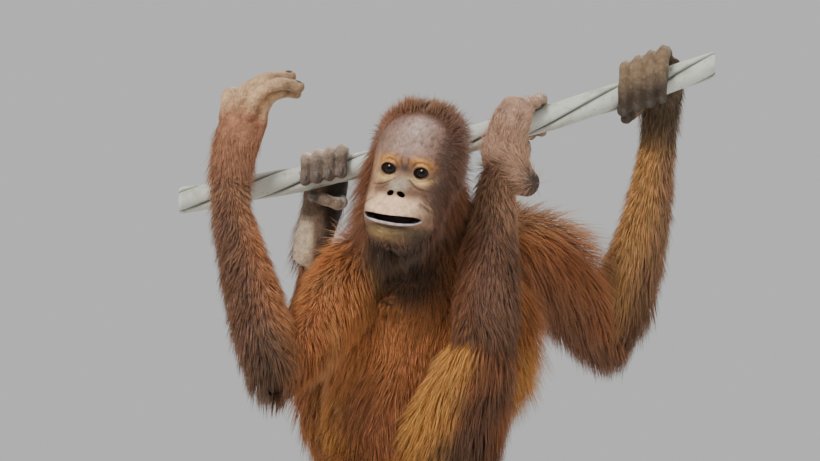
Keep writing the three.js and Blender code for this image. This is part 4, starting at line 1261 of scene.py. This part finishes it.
bevel_edges(board, lambda a, b: abs(a[2] - b[2]) > 0.01, BASE["corner"], 10)
bevel_edges(board, lambda a, b: min(a[2], b[2]) > BASE["height"] - 1e-4, BASE["ease"], 3)

bpy.ops.mesh.primitive_cylinder_add(
    vertices=64, radius=ROD["radius"], depth=ROD["top"] - BASE["height"],
    location=(ROD["x"], ROD["y"], 0.5 * (ROD["top"] + BASE["height"])),
)
rod = bpy.context.object
rod.name = "steel_rod"
bpy.ops.object.transform_apply(location=True, rotation=True, scale=True)
bpy.ops.mesh.primitive_cylinder_add(
    vertices=64, radius=COLLAR["radius"], depth=COLLAR["height"],
    location=(ROD["x"], ROD["y"], BASE["height"] + 0.5 * COLLAR["height"]),
)
collar = bpy.context.object
bpy.ops.object.transform_apply(location=True, rotation=True, scale=True)
collar_top = BASE["height"] + COLLAR["height"]
bevel_edges(collar, lambda a, b: min(a[2], b[2]) > collar_top - 1e-4, 0.0025, 3)
rod = join("steel_rod", [rod, collar])

wood, shader, start = material("stained wood", Roughness=0.4, Coat_Weight=0.2, Coat_Roughness=0.25)
position = object_place(start)
stretched = stretched_by(position, (0.12, 1, 1))
warp = noise(start, stretched, 9.0, 3.0)
bands = start.node("TexWave", {"bands_direction": "Y"},
                   {"Vector": stretched, "Scale": 22.0, "Distortion": 5.0, "Detail": 3.0}, out=1)
pores = noise(start, stretched, 420.0, 2.0)
dark_lines = blend((0.10, 0.055, 0.03), (0.25, 0.15, 0.085), bands * 0.6 + warp * 0.4)
connect(shader, Base_Color=blend(dark_lines, (0.06, 0.035, 0.02), ((pores - 0.58) * 6).clamped() * 0.7),
        Roughness=0.34 + pores * 0.2, Normal=bump(start, bands * 0.3 + pores, 0.25, 0.0004))
steel, shader, start = material("satin steel", Metallic=1.0, Roughness=0.35)
turned_marks = stretched_by(object_place(start), (1, 1, 40))
brushed = noise(start, turned_marks, 60.0, 2.0)
connect(shader, Base_Color=blend((0.42, 0.43, 0.44), (0.58, 0.58, 0.58), brushed),
        Roughness=0.26 + brushed * 0.2)
for piece, finish, slot, node in ((board, wood, "stand_wood", "stand_base"),
                                  (rod, steel, "stand_metal", "stand_rod")):
    shade_by_angle(piece, 40)
    piece.data.materials.clear()
    piece.data.materials.append(finish)
    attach(piece, "root")
    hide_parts(node)
print("stand made")

# %% [markdown]
# ## The coat
# The coat is long, thin and shaggy: mostly 2 to 6 cm on the body, shorter on the head, almost none
# on the face and hands. Particle hair would be the usual way, but it isn't mesh and can't be packed. Here
# each tuft is a thin closed blade with a three-sided section that tapers to a point. Thousands are
# made at once as arrays, rooted just under the skin. Each heads along the lie of the coat, lifts a
# little, then bends towards the ground, and its tip is drawn to its neighbours' to form locks.

# %% Shape of the tufts
SPANS = np.array([0, 0.46, 1.0])
TAPER = np.array([0.85, 0.9])
PATCH = 0.003
GROUND = np.array((0, 0, -1.0))
POINTS_EACH = 3 * len(TAPER) + 1


def tuft_paths(roots, normals, lies, length, rise, droop, sink, draw):
    """Centre lines of the tufts: an array of tufts by three places."""
    count = len(roots)
    flat = unit(lies - normals * (lies * normals).sum(1)[:, None])
    heading = unit(flat + normals * (rise * draw.uniform(0.5, 1.5, count))[:, None])
    into = np.minimum(0, (GROUND * normals).sum(1))[:, None]
    hang = GROUND - normals * into
    share = SPANS[None, :, None]
    bend = np.asarray(droop * draw.uniform(0.6, 1.4, count))[:, None, None]
    way = heading[:, None] * share * (1 - 0.5 * bend * share) + hang[:, None] * 0.5 * bend * share**2
    start = roots - normals * sink
    frizz = draw.normal(0, 0.045, (count, 1, 3)) * share**1.5
    return start[:, None] + (way + frizz) * np.asarray(length)[:, None, None]


def gather(paths, each, pull, draw):
    """Draws the tips of neighbours together, about so many tufts to a lock."""
    leaders = draw.choice(len(paths), max(1, len(paths) // each), replace=False)
    tree = kdtree.KDTree(len(leaders))
    for k, leader in enumerate(leaders):
        tree.insert(paths[leader, 0], k)
    tree.balance()
    own = leaders[[tree.find(Vector(path))[1] for path in paths[:, 0]]]
    share = (SPANS**1.3)[None, :, None] * pull * draw.uniform(0.5, 1.2, (len(paths), 1, 1))
    close = np.linalg.norm(paths[own, 0] - paths[:, 0], axis=1) < 0.03
    return paths + (paths[own] - paths) * np.minimum(share, 0.95) * close[:, None, None]


def tuft_mesh(name, batches):
    """One closed mesh from batches of (paths, normals, widths, tints, patch places)."""
    paths, normals, widths, tints, patches = (np.concatenate(rows) for rows in zip(*batches))
    draw = np.random.default_rng(len(paths))
    count = len(paths)
    heading = unit(paths[:, -1] - paths[:, 0])
    across = unit(np.cross(heading, normals) + 1e-6)
    out = unit(np.cross(across, heading))
    twist = draw.uniform(-0.7, 0.7, count)[:, None]
    across, out = across * np.cos(twist) + out * np.sin(twist), out * np.cos(twist) - across * np.sin(twist)
    points = np.empty((count, POINTS_EACH, 3))
    for r, taper in enumerate(TAPER):
        half = (0.5 * widths * taper)[:, None]
        points[:, 3 * r] = paths[:, r] - across * half
        points[:, 3 * r + 1] = paths[:, r] + out * half * 0.7
        points[:, 3 * r + 2] = paths[:, r] + across * half
    points[:, -1] = paths[:, -1]
    faces = [(0, 2, 1)]
    for r in range(len(TAPER) - 1):
        for k in range(3):
            a, b = 3 * r + k, 3 * r + (k + 1) % 3
            faces += [(a, b, b + 3), (a, b + 3, a + 3)]
    last = 3 * (len(TAPER) - 1)
    faces += [(last + k, last + (k + 1) % 3, POINTS_EACH - 1) for k in range(3)]
    corners = (np.array(faces)[None] + POINTS_EACH * np.arange(count)[:, None, None]).ravel()
    mesh = bpy.data.meshes.new(name)
    mesh.vertices.add(count * POINTS_EACH)
    mesh.vertices.foreach_set("co", points.astype(np.float32).ravel())
    mesh.loops.add(len(corners))
    mesh.loops.foreach_set("vertex_index", corners.astype(np.int32))
    mesh.polygons.add(len(corners) // 3)
    mesh.polygons.foreach_set("loop_start", np.arange(0, len(corners), 3, dtype=np.int32))
    mesh.polygons.foreach_set("use_smooth", np.ones(len(corners) // 3, bool))
    mesh.update(calc_edges=True)
    piece = bpy.data.objects.new(name, mesh)
    bpy.context.scene.collection.objects.link(piece)
    share = np.append(np.repeat(SPANS[:-1], 3), 1.0)
    store(piece, "along", np.tile(share, count))
    paint(piece, "tint", np.repeat(np.clip(tints, 0, 1), POINTS_EACH, axis=0))
    sideways = np.append(np.tile((-1, 0, 1), len(TAPER)), 0) * 0.5 * PATCH
    spots = np.stack([patches[:, None, 0] + sideways, patches[:, None, 1] + share * PATCH], -1)
    atlas = mesh.uv_layers.new(name="OFBake")
    atlas.data.foreach_set("uv", spots.reshape(-1, 2)[corners].astype(np.float32).ravel())
    return piece


# %% [markdown]
# ## Where the hair grows and which way it lies
# On the arms the hair runs towards the elbow from both sides, and on the trunk and legs it hangs
# down. Each form therefore has its own row: how many tufts, their length at the start and at the
# end of the form, whether they run with or against its stations, how strongly the ground pulls
# them, and how high they rise. Roots that would lie inside another part are left out, and a tuft
# that would run into the face, another limb or the rope is shortened or left out too.

# %% Rows of the coat
# count, length at both ends in mm, along, down, droop, rise
COAT = {
    "torso": (42000, 46, 34, -1, 0.8, 0.4, 0.42),
    "pelvis": (9000, 46, 50, -1, 0.6, 0.5, 0.36),
    "neck": (11500, 36, 32, -1, 0.9, 0.5, 0.65),
    "upper_arm_r": (10500, 40, 34, 1, 0.9, 0.7, 0.4),
    "forearm_r": (11000, 40, 22, -1, 0.3, 0.4, 0.4),
    "upper_arm_l": (10700, 44, 36, 1, 0.8, 0.7, 0.46),
    "forearm_l": (10900, 44, 22, -1, 0.3, 0.4, 0.46),
    "thigh_r": (7000, 46, 44, -1, 0.5, 0.6, 0.32),
    "shank_r": (6000, 38, 26, -1, 0.4, 0.5, 0.34),
    "thigh_l": (12500, 50, 38, -1, 0.5, 0.6, 0.4),
    "shank_l": (9500, 34, 24, -1, 0.4, 0.5, 0.38),
}
TUFT_WIDTH = {"body": 0.82, "head": 0.55, "temple": 0.5, "face": 0.3, "limb": 0.45}
TUFTS = {"head": 28500, "face": 6500, "limb": 3200}
# About how many tufts make a lock, and how far their tips are drawn together
LOCKS = {"body": (14, 0.42), "head": (12, 0.4)}
# The first of the random draws of each part
DRAWS = {"torso": 71, "head": 91, "face": 97, "limb": 120}
ROOT_DEPTH = 0.82
SHORTENED = 0.62
BELLY_SHORTER = 0.35
# Where the coat stands up: a place, how far round it, and how much longer and higher it grows
RUFFS = (((-0.105, 0.02, 0.44), 0.045, 0.35, 0.6), ((0.125, 0.09, 0.435), 0.055, 0.8, 1.8))
CLEARANCE = {"rope": 17, "face": 1.0}


def in_head(points, margin):
    """Whether each point lies inside the head, grown by a margin in millimetres."""
    local = turned_back(points)
    above_chin = local[:, 2] > CHIN[2] - margin
    below_crown = local[:, 2] < CROWN[2] + margin
    return within_head(local, margin) & above_chin & below_crown


def in_rope(points):
    x, y, z = (points / MM).T
    return (np.hypot(y - ROPE["y"], z - rope_height(x)) < CLEARANCE["rope"]) & (np.abs(x) < 320)


def buried(points, owner):
    """Whether each root lies well inside a part other than its owner."""
    hit = in_rope(points)
    if owner != "head":
        hit |= in_head(points, -4.0)
    for name, form in (*BODY.items(), *PALMS.items()):
        if name != owner:
            hit |= form.reach(points)[0] < ROOT_DEPTH
    return hit


def in_bare_part(points, owner):
    """Whether each point lies in the rope, the face, or a hand or foot."""
    hit = in_rope(points)
    if owner != "head":
        hit |= in_head(points, CLEARANCE["face"])
    for name, form in PALMS.items():
        if name != owner:
            hit |= form.reach(points)[0] < 1.0
    return hit


def cut_clear(paths, owner):
    """Shortens the tufts that run into something bare, and says which can stay."""
    kept = ~buried(paths[:, 0], owner)
    for _ in range(3):
        hit = kept & (in_bare_part(paths[:, 1], owner) | in_bare_part(paths[:, 2], owner))
        start = paths[hit, :1]
        paths[hit] = start + (paths[hit] - start) * SHORTENED
    return kept & ~(in_bare_part(paths[:, 1], owner) | in_bare_part(paths[:, 2], owner))


def unwrapped(v, angle, tile=(0, 1)):
    """Where the patch of each tuft lies on the unwrap of its form: round it, then along it."""
    low, high = tile
    return np.stack([0.003 + 0.994 * (0.5 + angle / (2 * math.pi)), low + (high - low) * v], -1)


def spread(form, count, draw):
    """Places spread evenly over a form: v along it and the angle round it."""
    v = np.linspace(0.004, 0.996, 160)
    right, top = (form.skin_at(v, np.full(160, turn))[0] for turn in (0.0, 0.5 * math.pi))
    left = form.skin_at(v, np.full(160, math.pi))[0]
    around = np.linalg.norm(right - left, axis=1)
    steps = np.linalg.norm(np.gradient(0.5 * (right + top), axis=0), axis=1)
    total = np.cumsum(around * steps)
    return np.interp(draw.uniform(0, total[-1], count), total, v), draw.uniform(-math.pi, math.pi, count)


def coat_of(name, seed, tile=(0, 1)):
    """The tufts of one form, as a batch for a mesh."""
    count, first, last, along_sign, down, droop, rise = COAT[name]
    draw = np.random.default_rng(seed)
    form = BODY[name]
    v, angle = spread(form, count, draw)
    roots, normals, along, t = form.surface(v, angle)
    at_end = np.square((normals * along).sum(1))[:, None]
    lies = along * along_sign + GROUND * (down + 1.2 * at_end)
    sway = waves(roots, 0.018, seed) - 0.5
    lies = lies + np.cross(normals, lies) * (1.1 * sway)[:, None]
    length = MM * (first + (last - first) * t) * draw.uniform(0.55, 1.25, count)
    if name == "torso":
        length *= 1 - BELLY_SHORTER * step(-normals[:, 1], 0.3, 0.9)
        flank = step(normals[:, 0], 0.35, 0.8) * bell((roots[:, 2] - 0.325) / 0.06)
        length *= 1 + 0.6 * flank
        rise = rise * (1 + 1.1 * flank)
    for centre, reach, longer, higher in RUFFS:
        near = bell(np.linalg.norm(roots - centre, axis=1) / reach)
        length *= 1 + longer * near
        rise = rise * (1 + higher * near)
    if name == "neck":
        beside = step(np.abs(normals[:, 0]), 0.25, 0.7)
        length *= 1 + 0.25 * beside
        rise = rise * (1 + 0.5 * beside)
    paths = tuft_paths(roots, normals, lies, length, rise, droop, 0.003, draw)
    paths = gather(paths, *LOCKS["body"], draw)
    kept = cut_clear(paths, name)
    tint = coat_colour(name, roots, normals, t) * draw.uniform(0.7, 1.3, (count, 1))
    tint = tint * (1 + draw.normal(0, 0.06, (count, 3)))
    width = MM * TUFT_WIDTH["body"] * draw.uniform(0.65, 1.25, count)
    spots = unwrapped(0.004 + 0.988 * v, angle, tile)
    rows = (paths, normals, width, tint, spots)
    return tuple(row[kept] for row in rows)


# %% [markdown]
# ## The hair of the head
# The hair of the head stands up and out on the crown like a thin halo, and lies back and down at the
# sides. It starts at a hairline that climbs from the jaw past the temple to the very top of the
# forehead, short at first and longer behind. The face keeps only a thin down.

# %% Tufts of the head


def hairline(z, angle):
    """The angle from the middle of the face at which the hair begins, at a height."""
    heights = (-92, -86, -78, -60, -30, 0, 30, 50, 60, 65, 68)
    edge = np.interp(z, heights, (0, 0.5, 1.05, 1.2, 1.2, 1.15, 1.12, 1.0, 0.8, 0.45, 0.0))
    return edge - 0.26 * (angle > 0) * step(z, -70, -30) * step(-z, -66, -50)


def head_frame(v, angle):
    """Places on the head with the outward and the upward direction there."""
    point = head_at(v, angle)
    up = head_at(v + 0.006, angle) - head_at(v - 0.006, angle)
    across = head_at(v, angle + 0.03) - head_at(v, angle - 0.03)
    turn = HEAD_TO_WORLD[:3, :3]
    return point, unit(np.cross(across, up) @ turn.T), unit(up @ turn.T)


def head_coat(count, seed):
    draw = np.random.default_rng(seed)
    v = 0.99 * np.sqrt(draw.uniform(0.0, 1.0, count))
    v = np.where(draw.uniform(0, 1, count) < 0.35, draw.uniform(0.6, 0.99, count), v)
    v = np.where(draw.uniform(0, 1, count) < 0.12, draw.uniform(0.0, 0.12, count), v)
    angle = draw.uniform(-math.pi, math.pi, count)
    local, normals, up = head_frame(v, angle)
    past = np.abs(angle) - hairline(local[:, 2], angle)
    grows = draw.uniform(0, 1, count) < step(past, -0.12, 0.2)
    v, angle, local, normals, up, past = (row[grows] for row in (v, angle, local, normals, up, past))
    count = len(v)
    z = local[:, 2]
    left = step(angle, -0.1, 0.5) * step(3.0 - angle, 0, 0.6)
    cheek = step(-angle, 0.3, 0.8) * step(-z, -40, 10) * step(3.0 + angle, 0, 1.2)
    below = step(-z, 20, 60)
    lift = np.interp(z, (-60, -20, 15, 45, 62, 73), (-1, -0.9, -0.5, 0.35, 0.9, 0.6))
    back = np.array((0, 1.0, 0)) @ HEAD_TO_WORLD[:3, :3].T / MM
    rise = np.interp(z, (-60, -20, 15, 45, 65), (0.45, 0.5, 0.6, 0.8, 1.25))
    rise = rise * (1 - 0.15 * left * below) * (1 + 0.9 * cheek)
    full = np.interp(z, (-92, -80, -40, 0, 45, 62, 73), (26, 30, 36, 36, 30, 27, 25))
    full = full * (1 - 0.22 * left * step(z, -75, -40) * (1 - step(z, 30, 55))) * (1 + 0.55 * cheek)
    length = MM * full * (0.22 + 0.78 * step(past, 0, 0.5)) * draw.uniform(0.5, 1.25, count)
    backward = (0.45 + 0.3 * left - 0.45 * cheek)[:, None]
    lie = up * lift[:, None] + back * backward
    paths = tuft_paths(turned(local), normals, lie, length, rise, 0.4, 0.0015, draw)
    paths = gather(paths, *LOCKS["head"], draw)
    kept = cut_clear(paths, "head")
    tint = head_hair_colour(local) * draw.uniform(0.6, 1.4, (count, 1))
    width = MM * TUFT_WIDTH["head"] * draw.uniform(0.65, 1.25, count)
    rows = (paths, normals, width, tint, unwrapped(0.004 + 0.988 * v, angle))
    return tuple(row[kept] for row in rows)


def face_down(count, seed):
    """The thin short hair of forehead, cheeks and chin."""
    draw = np.random.default_rng(seed)
    v = draw.uniform(0.03, 0.97, count)
    angle = draw.uniform(-1.3, 1.3, count)
    local, normals, up = head_frame(v, angle)
    x, _, z = local.T
    brow = step(z, 16, 30) * (1 - 0.5 * bell((x - 4) / 14) * step(z, 30, 45))
    temple = step(x, 24, 36) * step(z, -50, -25)
    cheeks = step(-x, 32, 42) * step(-z, -10, 10)
    beard = 0.8 * step(-z, 66, 78)
    share = np.maximum(np.maximum(0.4 * brow, 0.95 * temple), np.maximum(0.6 * cheeks, beard))
    grows = draw.uniform(0, 1, count) < share
    lift = np.where(z > 0, 1.0, -0.7)[:, None]
    outward = unit(np.cross(normals, up)) * -np.sign(x)[:, None]
    length = MM * np.where(z > 0, 9, 10) * draw.uniform(0.6, 1.4, count)
    lie = up * lift + outward * (0.5 + 1.2 * temple)[:, None]
    paths = tuft_paths(turned(local), normals, lie, length, 0.25, 0.2, 0.0006, draw)
    tint = mix((0.30, 0.15, 0.09), (0.10, 0.048, 0.035), step(x, 10, 30)) * draw.uniform(0.6, 1.4, (count, 1))
    spots = np.stack([0.5 + angle / (2 * math.pi), v * 0.49], -1)
    width = MM * np.where(temple > 0.5, TUFT_WIDTH["temple"], TUFT_WIDTH["face"])
    rows = (paths, normals, width, tint, spots)
    return tuple(row[grows] for row in rows)


DOWN_COLOURS = {
    "hand_r": (0.43, 0.20, 0.11), "hand_l": (0.16, 0.10, 0.055),
    "foot_r": (0.46, 0.21, 0.11), "foot_l": (0.52, 0.30, 0.19),
}


def limb_down(limb, count, backs, seed, tile):
    """Thin hair on the back of a hand or foot."""
    draw = np.random.default_rng(seed)
    form = PALMS[limb]
    v, angle = spread(form, count, draw)
    roots, normals, along, t = form.surface(v, angle)
    facing = step(normals @ unit(np.array(backs, float)), -0.3, 0.4) * step(-t, -0.98, -0.45)
    if limb.startswith("hand"):
        facing = np.maximum(facing, step(-t, -0.5, -0.2))
    grows = draw.uniform(0, 1, count) < facing
    length = MM * (24 - 13 * t) * draw.uniform(0.6, 1.3, count)
    run = -along if limb != "foot_l" else along
    sway = (waves(roots, 0.012, seed) - 0.5)[:, None]
    lie = run + GROUND * 0.2 + np.cross(normals, along) * sway
    paths = tuft_paths(roots, normals, lie, length, 0.42, 0.25, 0.0008, draw)
    grows &= ~in_bare_part(paths[:, -1], limb)
    tint = np.array(DOWN_COLOURS[limb]) * draw.uniform(0.6, 1.4, (count, 1))
    width = MM * TUFT_WIDTH["limb"] * np.ones(count)
    rows = (paths, normals, width, tint, unwrapped(v, angle, tile))
    return tuple(row[grows] for row in rows)


# %% Coat material
coat_finish, shader, start = material(
    "long hair", Roughness=0.5, Specular_IOR_Level=0.35, Sheen_Weight=0.15, Sheen_Roughness=0.4
)
tint = start.node("Attribute", {"attribute_name": "tint"})
along_hair = stored_number(start, "along")
rooted = blend(tint, (0.56, 0.49, 0.46), 1.0, "MULTIPLY")
golden = blend(tint, (0.16, 0.075, 0.02), 1.0, "SCREEN")
lower = blend(rooted, tint, (along_hair * 2.2).clamped())
streak = noise(start, object_place(start), 160.0, 2.0)
colour = blend(lower, golden, (along_hair * 1.5 - 0.5).clamped() * (0.5 + streak * 0.5))
connect(shader, Base_Color=colour, Roughness=0.42 + streak * 0.2)

# %% Grow the coat
HALVES = ((0, 0.495), (0.5, 1))
QUARTERS = ((0.5, 0.62), (0.625, 0.745), (0.75, 0.87), (0.875, 0.995))
PIECES = {
    "coat_pelvis_neck": ("coat_trunk", ["pelvis", "neck"]),
    "coat_arm_r": ("coat_arms", ["upper_arm_r", "forearm_r"]),
    "coat_arm_l": ("coat_arms", ["upper_arm_l", "forearm_l"]),
    "coat_leg_r": ("coat_legs", ["thigh_r", "shank_r"]),
    "coat_leg_l": ("coat_legs", ["thigh_l", "shank_l"]),
}
grown = []
for k, (name, (slot, forms)) in enumerate(PIECES.items()):
    tiles = HALVES if len(forms) == 2 else ((0, 1),)
    batches = [coat_of(form, 10 * k + i + 1, tile) for i, (form, tile) in enumerate(zip(forms, tiles))]
    grown.append((tuft_mesh(name, batches), slot))
trunk_coat = coat_of("torso", DRAWS["torso"])
in_front = trunk_coat[1][:, 1] < -0.15
for name, chosen in (("coat_chest", in_front), ("coat_back", ~in_front)):
    grown.append((tuft_mesh(name, [tuple(row[chosen] for row in trunk_coat)]), "coat_trunk"))
grown.append((tuft_mesh("coat_head", [head_coat(TUFTS["head"], DRAWS["head"])]), "coat_arms"))
BACKS = {"hand_r": (-0.2, -1, 0.1), "hand_l": (0.6, 1, 0.3), "foot_r": (0, 1, 0), "foot_l": (-0.5, -1, 0.4)}
down_batches = [
    limb_down(limb, TUFTS["limb"], back, DRAWS["limb"] + k, QUARTERS[k])
    for k, (limb, back) in enumerate(BACKS.items())
]
thin_hair = [face_down(TUFTS["face"], DRAWS["face"]), *down_batches]
grown.append((tuft_mesh("coat_fine", thin_hair), "coat_arms"))
total = 0
for piece, slot in grown:
    piece.data.materials.append(coat_finish)
    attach(piece, "root")
    total += len(piece.data.polygons)
    print(piece.name, len(piece.data.polygons), "triangles")
print("coat in all:", total, "triangles")
